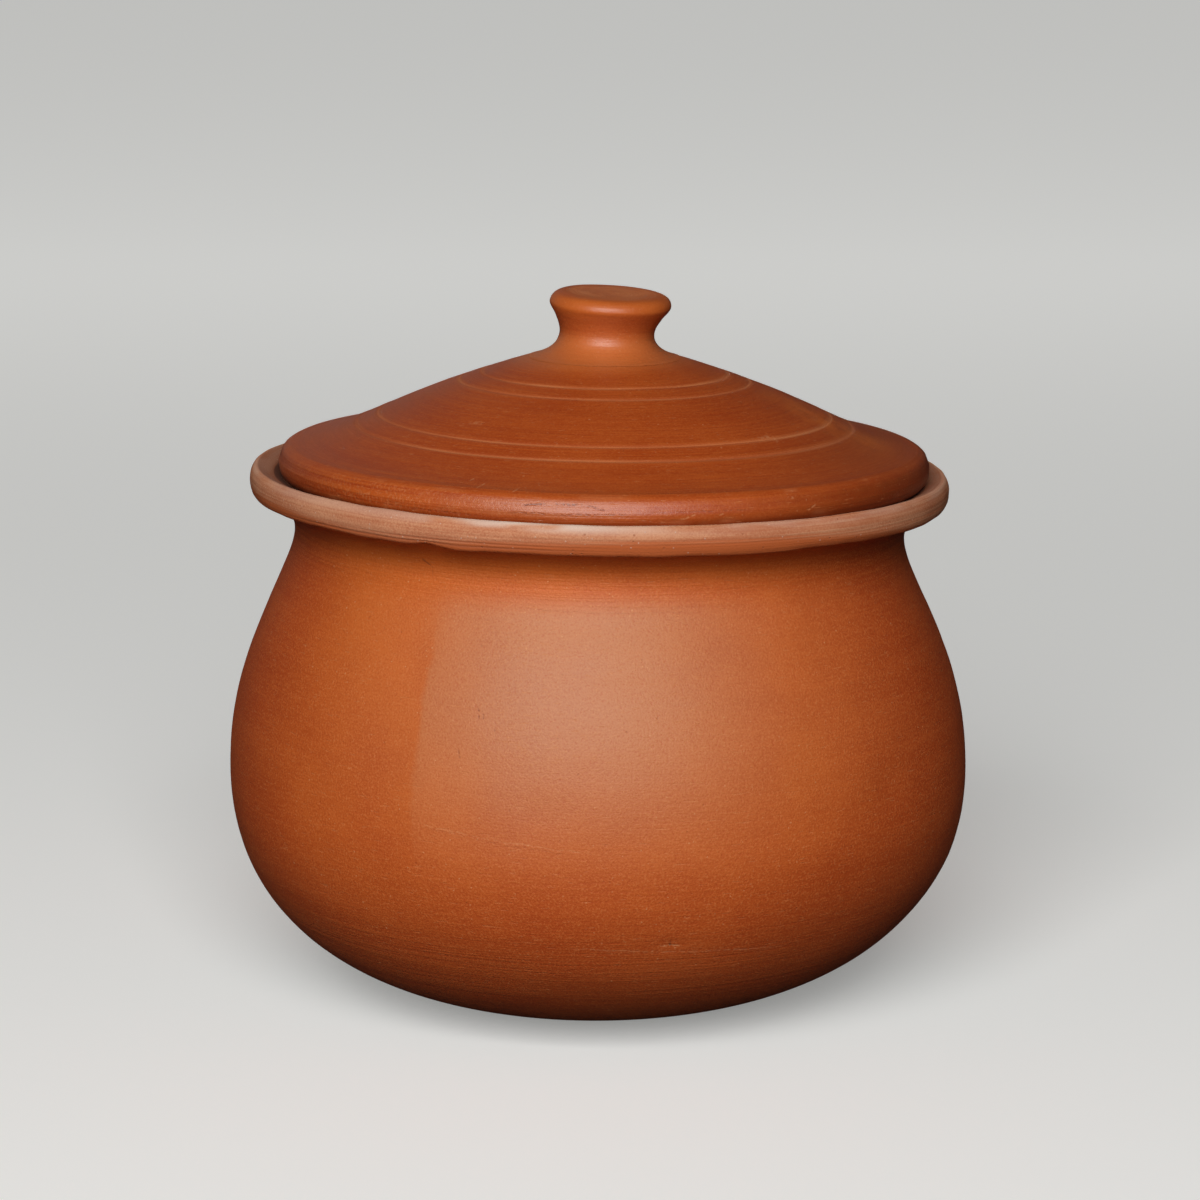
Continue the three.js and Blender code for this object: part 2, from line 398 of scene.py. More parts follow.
class Wire:
    """A value, vector or colour on its way through a shader; arithmetic on a value adds Math nodes."""

    def __init__(self, shader: "Shader", socket: bpy.types.NodeSocket) -> None:
        """Wraps a node's output."""
        self.shader = shader
        self.socket = socket

    def _math(self, operation: str, *feeds: Feed) -> "Wire":
        """Adds a Math node."""
        return self.shader.node("ShaderNodeMath", {"operation": operation}, dict(enumerate(feeds)))

    def __add__(self, other: Feed) -> "Wire":
        """This plus another."""
        return self._math("ADD", self, other)

    __radd__ = __add__

    def __sub__(self, other: Feed) -> "Wire":
        """This less another."""
        return self._math("SUBTRACT", self, other)

    def __rsub__(self, other: Feed) -> "Wire":
        """Another less this."""
        return self._math("SUBTRACT", other, self)

    def __mul__(self, other: Feed) -> "Wire":
        """This times another."""
        return self._math("MULTIPLY", self, other)

    __rmul__ = __mul__

    def __abs__(self) -> "Wire":
        """The value without its sign."""
        return self._math("ABSOLUTE", self)

    def rise(self, low: float, high: float) -> "Wire":
        """Goes smoothly from 0 to 1.

        Args:
            low: The value where it is 0.
            high: The value where it is 1, which may be the lesser of the two.

        Returns:
            The share from 0 to 1.
        """
        limits = {"From Min": min(low, high), "From Max": max(low, high)}
        ends = {"To Min": float(low > high), "To Max": float(low < high)}
        settings = {"interpolation_type": "SMOOTHSTEP"}
        return self.shader.node("ShaderNodeMapRange", settings, {"Value": self, **limits, **ends})

    def within(self, zone: Zone) -> "Wire":
        """Is 1 inside a zone and fades to 0 outside it."""
        return self.rise(*zone[0]) * self.rise(*reversed(zone[1]))

    @property
    def swing(self) -> "Wire":
        """How far a noise lies above or below its middle value."""
        return self - 0.5


@dataclass(frozen=True)
class Stroke:
    """A fine straight mark on the slip.

    Attributes:
        start: Where it starts: degrees around and height.
        end: Where it ends.
        width: How wide it is.
        strength: How clearly it shows.
    """

    start: Spot
    end: Spot
    width: float
    strength: float = 1.0


class Shader:
    """The nodes of one material, or of the world.

    Attributes:
        ROUGH: How rough the finer octaves of a noise are.
        SHAKE: The length and the reach of a hand's shake along a fine mark, in millimetres.
        BREAKS: The length of the breaks in a fine mark, in millimetres.
    """

    ROUGH = 0.55
    SHAKE = (3.0, 0.9)
    BREAKS = 0.9

    def __init__(self, owner: Union[bpy.types.Material, bpy.types.World]) -> None:
        """Empties the owner's nodes and gives it an outlet.

        Args:
            owner: The material, or the world.
        """
        owner.use_nodes = True
        self.tree = owner.node_tree
        self.tree.nodes.clear()
        kind = "ShaderNodeOutputWorld" if isinstance(owner, bpy.types.World) else "ShaderNodeOutputMaterial"
        self.outlet = self.tree.nodes.new(kind).inputs["Surface"]

    def node(
        self,
        kind: str,
        settings: Optional[Mapping[str, Any]] = None,
        inputs: Optional[Mapping[Union[str, int], Feed]] = None,
        output: Union[str, int] = 0,
    ) -> Wire:
        """Adds any node.

        Args:
            kind: The node's type.
            settings: Its own settings, set first.
            inputs: What goes into its sockets, by name or number: a wire, a number, a vector or a colour.
            output: The socket that is handed on.

        Returns:
            That output.
        """
        made = self.tree.nodes.new(kind)
        for name, value in (settings or {}).items():
            setattr(made, name, value)
        for key, feed in (inputs or {}).items():
            socket = made.inputs[key]
            if isinstance(feed, Wire):
                self.tree.links.new(feed.socket, socket)
            else:
                socket.default_value = (*feed, 1.0) if socket.type == "RGBA" else feed
        return Wire(self, made.outputs[output])

    def finish(self, surface: Wire) -> None:
        """Sends a shader to the outlet."""
        self.tree.links.new(surface.socket, self.outlet)

    def layer(self, layer: Layer) -> Wire:
        """A mask that the mesh carries."""
        return self.node("ShaderNodeAttribute", {"attribute_name": layer.value}, output="Fac")

    def place(self) -> Wire:
        """Where the point lies on the piece, in millimetres."""
        return self.stretched(self.node("ShaderNodeTexCoord", output="Object"), (1.0 / MM,) * 3)

    def stretched(self, vector: Wire, scale: Sequence[float]) -> Wire:
        """A vector times a scale for each axis."""
        return self.node("ShaderNodeVectorMath", {"operation": "MULTIPLY"}, {0: vector, 1: scale})

    def noise(self, vector: Wire, detail: float) -> Wire:
        """Noise about 0.5 with cells of one unit."""
        inputs = {"Vector": vector, "Scale": 1.0, "Detail": detail, "Roughness": self.ROUGH}
        return self.node("ShaderNodeTexNoise", None, inputs, "Fac")

    def lumps(self, size: float, detail: float) -> Wire:
        """Noise as broad as it is high, with lumps of a size in millimetres."""
        return self.noise(self.stretched(self.place(), (1.0 / size,) * 3), detail)

    def bands(self, length: float, width: float, detail: float) -> Wire:
        """Noise drawn out along the wheel's turn, in millimetres."""
        lay = self.node("ShaderNodeAttribute", {"attribute_name": Layer.LAY.value}, output="Vector")
        return self.noise(self.stretched(lay, (1.0 / length, 1.0 / length, 1.0 / width)), detail)

    def grains(self, cell: float, size: float, left_out: float) -> Wire:
        """A mask of grains strewn over the clay.

        Args:
            cell: The distance between grains in millimetres, before some are left out.
            size: How far a grain reaches, in millimetres.
            left_out: The part of the grains that is left out.

        Returns:
            1 on a grain, and 0 between grains.
        """
        inputs = {"Vector": self.stretched(self.place(), (1.0 / cell,) * 3), "Scale": 1.0}
        distance = self.node("ShaderNodeTexVoronoi", None, inputs, "Distance")
        tint = Wire(self, distance.socket.node.outputs["Color"])
        lot = self.node("ShaderNodeSeparateColor", None, {0: tint})
        return distance.rise(size / cell, 0.4 * size / cell) * lot.rise(left_out, left_out + 0.02)

    def compass(self) -> tuple[Wire, Wire]:
        """Works out where the point lies round the pot.

        Returns:
            Degrees around, and height in millimetres.
        """
        spot = self.place()
        x, y, z = (self.node("ShaderNodeSeparateXYZ", None, {0: spot}, axis) for axis in "XYZ")
        turn = self.node("ShaderNodeMath", {"operation": "ARCTAN2"}, {0: x, 1: 0.0 - y})
        return turn * math.degrees(1.0), z

    def strokes(self, marks: Sequence[Stroke], arc: float) -> Wire:
        """A mask of fine straight marks.

        Args:
            marks: Where they lie.
            arc: The length of one degree around, in millimetres.

        Returns:
            1 along a mark.
        """
        around, height = self.compass()
        unsteady = self.lumps(self.SHAKE[0], 2.0).swing * self.SHAKE[1]
        across = around * arc + unsteady
        height = height + unsteady
        broken = self.lumps(self.BREAKS, 2.0).rise(0.36, 0.58)
        total: Feed = 0.0
        for mark in marks:
            start = Vector((mark.start[0] * arc, mark.start[1]))
            way = Vector((mark.end[0] * arc, mark.end[1])) - start
            length = way.length
            way /= length
            along = across * way.x + height * way.y - start.dot(way)
            aside = abs(across * -way.y + height * way.x - (start.y * way.x - start.x * way.y))
            ends = along.rise(-0.2, 0.12 * length) * along.rise(length + 0.2, 0.88 * length)
            total = aside.rise(mark.width, 0.25 * mark.width) * ends * mark.strength + total
        return broken * total

    def blend(self, factor: Feed, first: Feed, second: Feed) -> Wire:
        """The first colour, going over to the second as the factor rises."""
        return self.node("ShaderNodeMix", {"data_type": "RGBA"}, {0: factor, 6: first, 7: second}, 2)

    def coated(self, colour: Wire, coats: Sequence[tuple[Feed, Feed]]) -> Wire:
        """Lays coats over a colour, one after the other.

        Args:
            colour: The colour underneath.
            coats: How far each coat covers what lies under it, and its colour.

        Returns:
            The colour on top.
        """
        for cover, coat in coats:
            colour = self.blend(cover, colour, coat)
        return colour

    def clay(self, colour: Wire, roughness: Wire, height: Wire, depth: float, shine: float) -> None:
        """Finishes a clay surface.

        Args:
            colour: Its colour.
            roughness: Its roughness.
            height: Its fine relief.
            depth: What 1 of that relief stands for, in millimetres.
            shine: The level of its gloss.
        """
        bump = self.node("ShaderNodeBump", None, {"Strength": 1.0, "Distance": depth * MM, "Height": height})
        inputs = {"Base Color": colour, "Roughness": roughness, "Normal": bump, "Specular IOR Level": shine}
        self.finish(self.node("ShaderNodeBsdfPrincipled", None, inputs))


@dataclass(frozen=True)
class BurnishedSlip:
    """Red slip brushed over clay and burnished to a satin sheen, with the wheel's lines and sand in it.

    Attributes:
        name: The material's name.
        deep: Its darkest tone.
        warm: Its usual bright tone.
        bright: The bright tone that painted light goes over to.
        painted_highlight: The paler tone painted as a highlight where the slip is polished.
        pale: Scuffs and sand.
        line: Lines cut into it.
        bare: The clay where no slip was brushed.
        pit: Pits and scratches, and painted shade.
        shade_tone: The tone of the painted shade on the lid's edge.
        shade: How much darker than itself the bare clay gets.
        satin: Roughness of the slip.
        matt: Roughness of the bare clay.
        shine: The level of its gloss.
        relief: The height of its fine relief, in millimetres.
        mottle_size: The size of its soft patches, in millimetres.
        sweep_size: The length and width of the brush's sweeps.
        line_size: The length and width of the wheel's lines.
        brush_size: The length and width of the brush's hair marks.
        tick_size: The length and width of short nicks along the lines.
        grain_size: The size of its grain.
        flake_size: The size of its flakes.
        streak: How clearly the wheel's lines show.
        grainy: How clearly its fine grain shows.
        sandy: How clearly the sand shows.
        scratches: Dark marks.
        scuffs: Pale marks.
        arc: The length of one degree around where the marks lie, in millimetres.
    """

    name: str
    deep: Colour = (0.35, 0.044, 0.004)
    warm: Colour = (0.46, 0.080, 0.010)
    bright: Colour = (0.55, 0.122, 0.014)
    painted_highlight: Colour = (0.45, 0.200, 0.090)
    pale: Colour = (0.68, 0.33, 0.15)
    line: Colour = (0.58, 0.21, 0.075)
    bare: Colour = (0.50, 0.17, 0.065)
    pit: Colour = (0.16, 0.030, 0.008)
    shade_tone: Colour = (0.13, 0.016, 0.0015)
    shade: float = 0.72
    satin: float = 0.62
    matt: float = 0.85
    shine: float = 0.36
    relief: float = 0.045
    mottle_size: float = 26.0
    sweep_size: Span = (90.0, 5.0)
    line_size: Span = (60.0, 0.55)
    brush_size: Span = (3.2, 0.5)
    tick_size: Span = (2.6, 0.4)
    grain_size: float = 0.4
    flake_size: float = 0.6
    streak: float = 0.4
    grainy: float = 0.27
    sandy: float = 0.7
    scratches: tuple[Stroke, ...] = ()
    scuffs: tuple[Stroke, ...] = ()
    arc: float = 1.3

    def polish_and_highlight(self, shader: Shader) -> Feed:
        """How much more than elsewhere the slip is polished and painted paler as a highlight; here it is even.
        """
        return 0.0

    def painted_light(self, shader: Shader) -> Feed:
        """How far painted light takes the slip over to its bright tone; here nowhere."""
        return 0.0

    def painted_shade(self, shader: Shader) -> Feed:
        """How far painted shade darkens the slip; here nowhere."""
        return 0.0

    def lined(self, shader: Shader) -> Feed:
        """How clearly the wheel's lines show; here they are even."""
        return self.streak

    def material(self) -> bpy.types.Material:
        """Builds the finish.

        Returns:
            A material that reads the layers of a turned mesh.
        """
        made = bpy.data.materials.new(self.name)
        shader = Shader(made)
        bare, cut, worn, seat = map(shader.layer, (Layer.BARE, Layer.CUT, Layer.WORN, Layer.SHADE_AND_STAIN))
        mottle = shader.lumps(self.mottle_size, 3.0)
        sweep = shader.bands(*self.sweep_size, 3.0)
        lines = shader.bands(*self.line_size, 2.0)
        brush = shader.bands(*self.brush_size, 3.0)
        grain = shader.lumps(self.grain_size, 2.0)
        ticks = shader.bands(*self.tick_size, 1.0).rise(0.66, 0.76)
        sand = shader.grains(1.8, 0.22, 0.4) * 0.6 + shader.grains(4.3, 0.28, 0.4) * 0.7
        pits = shader.grains(3.1, 0.28, 0.6)
        flaked = worn * shader.lumps(self.flake_size, 3.0).rise(0.48, 0.66)
        polish_and_highlight = self.polish_and_highlight(shader)
        lined = worn * 1.4 + self.lined(shader)
        scratched = shader.strokes(self.scratches, self.arc)
        scuffed = shader.strokes(self.scuffs, self.arc)
        fine = brush.swing * 0.7 + grain.swing * self.grainy * 8.0
        tone = mottle.swing * 0.7 + sweep.swing * 0.6 + lines.swing * lined + fine + 0.5
        slip = shader.blend(tone.rise(0.0, 1.0), self.deep, self.warm)
        shaded = tuple(self.shade * part for part in self.bare)
        clay = shader.blend((tone + 0.1).rise(0.0, 1.0), shaded, self.bare)
        coats = (
            # Painted light: the slip goes over to its bright tone where light falls.
            (self.painted_light(shader) * (mottle.swing * 2.0 + 1.0), self.bright),
            # Painted highlight: paler where the slip is polished.
            (polish_and_highlight * (grain.swing * 0.4 + 0.6), self.painted_highlight),
            (bare, clay),
            (grain.rise(0.52, 0.74) * self.grainy, self.line),
            (grain.rise(0.48, 0.26) * self.grainy, self.deep),
            (flaked * 0.25, self.line),
            # Painted shade.
            (self.painted_shade(shader), self.pit),
            # Painted shade from the mesh's seat layer.
            (seat * 0.85, self.shade_tone),
            (cut * (lines.rise(0.3, 0.62) * sweep.rise(0.3, 0.65) * 0.55 + 0.12), self.line),
            (sand * mottle.rise(0.25, 0.6) * self.sandy + scuffed * 0.3, self.pale),
            (ticks * 0.25, self.line),
            (pits * 0.25 + scratched * 0.4, self.pit),
        )
        roughness = mottle.swing * 0.1 + sweep.swing * 0.1 + self.satin - polish_and_highlight * 0.08
        roughness = roughness + bare * (self.matt - self.satin) + cut * 0.2 + sand * 0.15
        marks = pits * 0.7 + ticks * 0.6 + scratched * 0.5 + scuffed * 0.4 + flaked * 0.8
        height = lines.swing * lined * 2.0 + sweep.swing * 0.8 + fine * (bare * 0.8 + 0.9)
        height = height + sand * 0.25 - marks
        shader.clay(shader.coated(slip, coats), roughness, height, self.relief, self.shine)
        return made


@dataclass(frozen=True)
class BowlSlip(BurnishedSlip):
    """The bowl's slip, polished over a broad patch at the front under a painted highlight, with painted
    light on the front and painted shade towards the base.

    Attributes:
        patch_left: Where the patch starts, in degrees around.
        patch_edge: How far that edge fades to either side, at its crispest and at its softest.
        patch_blur: The heights where it goes from crisp to soft.
        patch_full: Where it is brightest.
        patch_right: Where it has faded out.
        patch_foot: The height where it fades in from below.
        patch_top: The height where it fades out above.
        front: Where it is polished a little too, with a fainter painted highlight.
        lit_middle: The middle of the painted light on the front.
        lit_reach: How far from there it has faded out, and how far it is at its brightest.
        lit_taper: How much less it reaches near the base.
        lit_low: The heights over which it gets narrower, downwards.
        lit_rise: The heights over which it gets brighter.
        shaded_base: The height where painted shade towards the base starts, and where it is darkest.
        shade_strength: How dark that is.
        lines_below: Where the wheel's lines get clearer towards the base.
        lines_above: Where they get clearer towards the neck.
    """

    patch_left: float = -27.3
    patch_edge: Span = (0.7, 5.0)
    patch_blur: Span = (78.0, 92.0)
    patch_full: Span = (-8.0, 2.0)
    patch_right: float = 36.0
    patch_foot: Span = (36.0, 76.0)
    patch_top: Span = (90.0, 97.0)
    front: Zone = ((-60.0, -24.0), (24.0, 66.0))
    lit_middle: float = -6.0
    lit_reach: Span = (67.0, 34.0)
    lit_taper: float = 22.0
    lit_low: Span = (60.0, 10.0)
    lit_rise: Span = (20.0, 62.0)
    shaded_base: Span = (50.0, 12.0)
    shade_strength: float = 0.12
    lines_below: Span = (38.0, 20.0)
    lines_above: Span = (88.0, 96.0)
    scratches: tuple[Stroke, ...] = (
        Stroke((-31.8, 100.6), (-30.0, 99.0), 0.30, 1.4),
        Stroke((-30.1, 99.1), (-29.9, 96.4), 0.24, 0.7),
        Stroke((-13.0, 92.7), (1.0, 92.0), 0.12, 0.5),
        Stroke((3.0, 92.1), (16.0, 91.7), 0.12, 0.35),
        Stroke((-17.9, 74.2), (-17.6, 72.3), 0.30, 1.8),
        Stroke((-17.3, 73.8), (-17.0, 72.4), 0.26, 1.8),
        Stroke((-15.3, 71.9), (-15.0, 70.1), 0.28, 1.8),
        Stroke((-20.6, 66.4), (-20.1, 64.0), 0.30, 0.8),
        Stroke((-26.0, 51.2), (-2.0, 47.3), 0.20, 0.5),
        Stroke((-3.0, 27.4), (30.0, 24.4), 0.25, 0.5),
        Stroke((11.0, 29.8), (11.3, 27.6), 0.36, 1.6),
        Stroke((124.0, 71.0), (133.0, 69.2), 0.2),
        Stroke((-160.0, 58.0), (-149.0, 57.2), 0.2),
    )
    scuffs: tuple[Stroke, ...] = (
        Stroke((-4.6, 27.9), (31.9, 24.8), 0.25, 0.7),
        Stroke((-26.9, 51.7), (0.6, 47.6), 0.22, 0.6),
        Stroke((9.6, 28.1), (12.9, 27.8), 0.36, 1.6),
        Stroke((72.0, 44.0), (96.0, 42.6), 0.25, 0.6),
        Stroke((-120.0, 66.0), (-96.0, 67.0), 0.25, 0.6),
    )

    def polish_and_highlight(self, shader: Shader) -> Feed:
        """A patch with a crisp left edge that fades towards the right, the neck and the base: polished, and
        painted paler as a highlight.

        Args:
            shader: The nodes that it is worked out with.

        Returns:
            How much more than elsewhere the slip is polished and painted paler.
        """
        around, height = shader.compass()
        wander = shader.lumps(9.0, 2.0).swing * 3.0
        left = self.patch_left
        crisp, soft = ((around + wander).rise(left - half, left + half) for half in self.patch_edge)
        edge = crisp + height.rise(*self.patch_blur) * (soft - crisp)
        swell = around.rise(left, self.patch_full[0]) * 0.4 + 0.6
        fade = (around + wander).rise(self.patch_right, self.patch_full[1])
        rise = (height + wander).rise(*self.patch_foot) * height.rise(*reversed(self.patch_top))
        # Polished, and painted paler as a highlight, over the patch and faintly over the front.
        return (edge * swell * fade * 0.85 + around.within(self.front) * 0.2) * rise

    def painted_light(self, shader: Shader) -> Feed:
        """Painted light on the front, brighter upwards and narrower towards the base.

        Args:
            shader: The nodes that it is worked out with.

        Returns:
            How far the slip goes over to its brightest tone.
        """
        around, height = shader.compass()
        # Painted light, widest at the front and brighter upwards.
        aside = abs(around - self.lit_middle) + height.rise(*self.lit_low) * self.lit_taper
        return aside.rise(*self.lit_reach) * (height.rise(*self.lit_rise) * 0.5 + 0.05)

    def painted_shade(self, shader: Shader) -> Feed:
        """Painted shade, darker towards the base."""
        return shader.compass()[1].rise(*self.shaded_base) * self.shade_strength

    def lined(self, shader: Shader) -> Feed:
        """Clearest near the base and under the neck."""
        height = shader.compass()[1]
        return height.rise(*self.lines_below) + height.rise(*self.lines_above) + self.streak


@dataclass(frozen=True)
class LidSlip(BurnishedSlip):
    """The lid's slip, a little deeper and glossier, with the scratches and scuffs of its edge.

    Attributes:
        edge_front: Where the polished front of the edge, painted paler as a highlight, starts and ends, in
            degrees around.
        edge_face: The heights where it starts and ends.
        edge_fade: How far it fades, up and down.
        knob_rise: Where the painted light and the painted highlight on the knob fade in above the dome.
        head_rise: Where the painted light on its waist fades out upwards, from the far side.
        head_roll: A painted highlight on the roll round its head.
        glint_around: Where a painted glint lies on the right flank, in degrees around.
        glint_height: How high it lies.
        shade_around: Where painted shade lies on the brim.
        shade_rise: The height where that starts, and where it is darkest.
        shade_strength: How dark that is.
    """

    deep: Colour = (0.31, 0.040, 0.004)
    warm: Colour = (0.42, 0.078, 0.010)
    satin: float = 0.42
    shine: float = 0.5
    streak: float = 0.7
    grainy: float = 0.09
    sandy: float = 0.35
    scratches: tuple[Stroke, ...] = (
        Stroke((-12.1, 113.0), (-7.8, 113.5), 0.30, 1.9),
        Stroke((-6.7, 113.5), (-2.0, 113.3), 0.30, 1.9),
        Stroke((-2.4, 113.3), (1.6, 112.3), 0.26, 1.7),
        Stroke((-15.0, 111.7), (6.0, 111.5), 0.24, 1.2),
        Stroke((-34.0, 110.9), (-19.0, 110.6), 0.24, 1.0),
        Stroke((8.0, 111.9), (27.0, 111.6), 0.22, 0.9),
    )
    scuffs: tuple[Stroke, ...] = (
        Stroke((-20.8, 115.6), (-20.2, 116.1), 0.20),
        Stroke((-14.1, 115.2), (-13.4, 115.7), 0.20),
        Stroke((-23.7, 116.2), (-23.2, 116.4), 0.18),
        Stroke((33.0, 112.9), (34.2, 113.0), 0.35),
        Stroke((36.8, 110.3), (38.3, 111.2), 0.25),
        Stroke((13.6, 110.4), (16.2, 111.2), 0.25),
        Stroke((19.3, 110.5), (21.0, 111.1), 0.25),
        Stroke((-44.0, 112.4), (-41.5, 112.6), 0.25, 0.5),
        Stroke((-36.0, 111.6), (-33.0, 111.7), 0.20, 0.5),
        Stroke((116.0, 112.0), (121.0, 112.3), 0.25),
        Stroke((-140.0, 114.2), (-136.0, 114.4), 0.22),
        Stroke((42.5, 121.2), (48.0, 121.2), 0.40, 0.8),
        Stroke((46.5, 120.4), (48.0, 120.8), 0.30, 0.8),
        Stroke((-38.4, 124.0), (-33.6, 124.0), 0.30, 0.6),
    )
    arc: float = 1.18
    edge_front: Span = (-34.0, 16.0)
    edge_face: Span = (110.6, 114.6)
    edge_fade: float = 0.8
    knob_rise: Span = (131.3, 134.0)
    head_rise: Span = (140.0, 136.5)
    head_roll: Zone = ((142.0, 143.6), (145.6, 147.2))
    glint_around: Zone = ((66.0, 77.0), (82.0, 91.0))
    glint_height: Zone = ((114.5, 117.0), (122.0, 128.0))
    shade_around: Zone = ((24.0, 62.0), (100.0, 150.0))
    shade_rise: Span = (122.0, 117.0)
    shade_strength: float = 0.3

    def polish_and_highlight(self, shader: Shader) -> Feed:
        """The front of its edge and the knob: polished, and painted paler as a highlight.

        Args:
            shader: The nodes that it is worked out with.

        Returns:
            How much more than elsewhere the slip is polished and painted paler.
        """
        around, height = shader.compass()
        wander = shader.lumps(5.0, 3.0).swing * 3.0
        start, end = self.edge_front
        middle = (start + end) / 2.0
        along = (around + wander * 4.0).rise(start, middle) * around.rise(end, middle)
        low, top = self.edge_face
        above = (height + wander * 0.4).rise(low, low + self.edge_fade)
        below = height.rise(top, top - self.edge_fade)
        knob = height.rise(*self.knob_rise) * (height.rise(*self.head_rise) * 0.2 + 0.12)
        # Polished, and painted paler as a highlight, on the front of the edge and on the knob.
        return along * above * below * 0.35 + knob

    def painted_light(self, shader: Shader) -> Feed:
        """Painted light on the knob, most of all on its waist, a painted highlight on its head's roll, and a
        painted glint on the right flank.

        Args:
            shader: The nodes that it is worked out with.

        Returns:
            How far the slip goes over to its brightest tone.
        """
        around, height = shader.compass()
        wander = shader.lumps(4.0, 2.0).swing * 9.0
        # A painted glint on the right flank, and painted light on the knob's waist and head.
        glint = (around + wander).within(self.glint_around) * height.within(self.glint_height)
        waist = height.rise(*self.head_rise) * 0.5
        knob = height.rise(*self.knob_rise) * (waist + height.within(self.head_roll) * 0.42 + 0.08)
        return knob + glint * shader.lumps(3.0, 1.0).rise(0.1, 0.7) * 0.8

    def painted_shade(self, shader: Shader) -> Feed:
        """Painted shade on the brim of the right flank."""
        around, height = shader.compass()
        return around.within(self.shade_around) * height.rise(*self.shade_rise) * self.shade_strength


@dataclass(frozen=True)
class BareClay:
    """Unslipped clay from the kiln: matt, pinkish tan, with lines left by the wheel and pale dust on its crest.

    Attributes:
        name: The material's name.
        tan: Its brightest tone.
        pink: Its darkest tone.
        dust: Dust and sand.
        stain_and_shade: The slope that the lid rests on, stained and with painted shade.
        painted_shadow: A painted shadow in a ring on that slope, where the lid's edge comes down.
        line: The wheel's lines and pits.
        slip: The slip that was brushed over its lower edge.
        roughness: Its roughness.
        shine: The level of its gloss.
        relief: The height of its fine relief, in millimetres.
        mottle_size: The length and width of its soft patches, in millimetres.
        line_size: The length and width of the wheel's lines.
        dust_size: The length and width of the patches of dust.
        grain_size: The size of its grain.
    """

    name: str
    tan: Colour = (0.55, 0.245, 0.125)
    pink: Colour = (0.41, 0.130, 0.056)
    dust: Colour = (0.62, 0.46, 0.37)
    stain_and_shade: Colour = (0.18, 0.050, 0.019)
    painted_shadow: Colour = (0.065, 0.021, 0.010)
    line: Colour = (0.33, 0.085, 0.030)
    slip: Colour = (0.42, 0.092, 0.020)
    roughness: float = 0.80
    shine: float = 0.3
    relief: float = 0.085
    mottle_size: Span = (18.0, 4.0)
    line_size: Span = (30.0, 0.35)
    dust_size: Span = (16.0, 4.0)
    grain_size: float = 0.4

    def material(self) -> bpy.types.Material:
        """Builds the finish.

        Returns:
            A material that reads the layers of the collar's mesh.
        """
        made = bpy.data.materials.new(self.name)
        shader = Shader(made)
        dusty, seat, cut, bare = map(shader.layer, (Layer.WORN, Layer.SHADE_AND_STAIN, Layer.CUT, Layer.BARE))
        mottle = shader.bands(*self.mottle_size, 3.0)
        lines = shader.bands(*self.line_size, 3.0)
        patches = shader.bands(*self.dust_size, 2.0)
        grain = shader.lumps(self.grain_size, 3.0)
        sand = shader.grains(1.4, 0.22, 0.5)
        pits = shader.grains(1.9, 0.26, 0.6)
        tone = mottle.swing * 1.6 + lines.swing * (1.0 - bare * 0.65) * 2.0 + grain.swing * 1.3 + 0.55
        clay = shader.blend(tone.rise(0.0, 1.0), self.pink, self.tan)
        coats = (
            (dusty * patches.rise(0.34, 0.54), self.dust),
            # Stained clay with painted shade on the seat, and a painted shadow where the lid's edge comes down.
            (seat * 0.9, self.stain_and_shade),
            (seat.rise(0.87, 1.0) * 0.75, self.painted_shadow),
            ((bare + lines.swing * 0.8).rise(0.9, 0.1), self.slip),
            (cut * lines.rise(0.15, 0.45) * 0.85, self.line),
            (sand * 0.4, self.dust),
            (pits * 0.55, self.line),
        )
        roughness = mottle.swing * 0.1 + self.roughness
        height = lines.swing * (1.0 - bare * 0.5) * 1.2 + grain.swing - pits * 0.9 + sand * 0.3
        shader.clay(shader.coated(clay, coats), roughness, height, self.relief, self.shine)
        return made


@dataclass(frozen=True)
class Dent:
    """A place where the soft clay was knocked.

    Attributes:
        around: Degrees around.
        height: Height in the piece's own frame.
        breadth: How far it reaches around, in millimetres.
        reach: How far it reaches up and down.
        depth: How deep it is; less than 0 stands proud.
    """

    around: float
    height: float
    breadth: float
    reach: float
    depth: float

    def relief(self, skin: Turning) -> np.ndarray:
        """Works out what the dent takes off a surface.

        Args:
            skin: The surface.

        Returns:
            The relief along its normals.
        """
        turn = (skin.around - self.around + 180.0) % 360.0 - 180.0
        aside = np.radians(turn) * np.maximum(skin.radius, 1.0) / self.breadth
        rise = (skin.height - self.height) / self.reach
        return -self.depth * np.exp(-(aside**2) - rise**2)


def carried(
    piece: bpy.types.Object, finish: bpy.types.Material, body: Body, node: str
) -> bpy.types.Object:
    """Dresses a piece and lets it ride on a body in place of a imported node.

    Args:
        piece: The piece.
        finish: Its material.
        body: The body that carries it.
        node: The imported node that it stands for.

    Returns:
        The same piece.
    """
    piece.data.materials.append(finish)
    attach(piece, body.value)
    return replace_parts(piece, node)


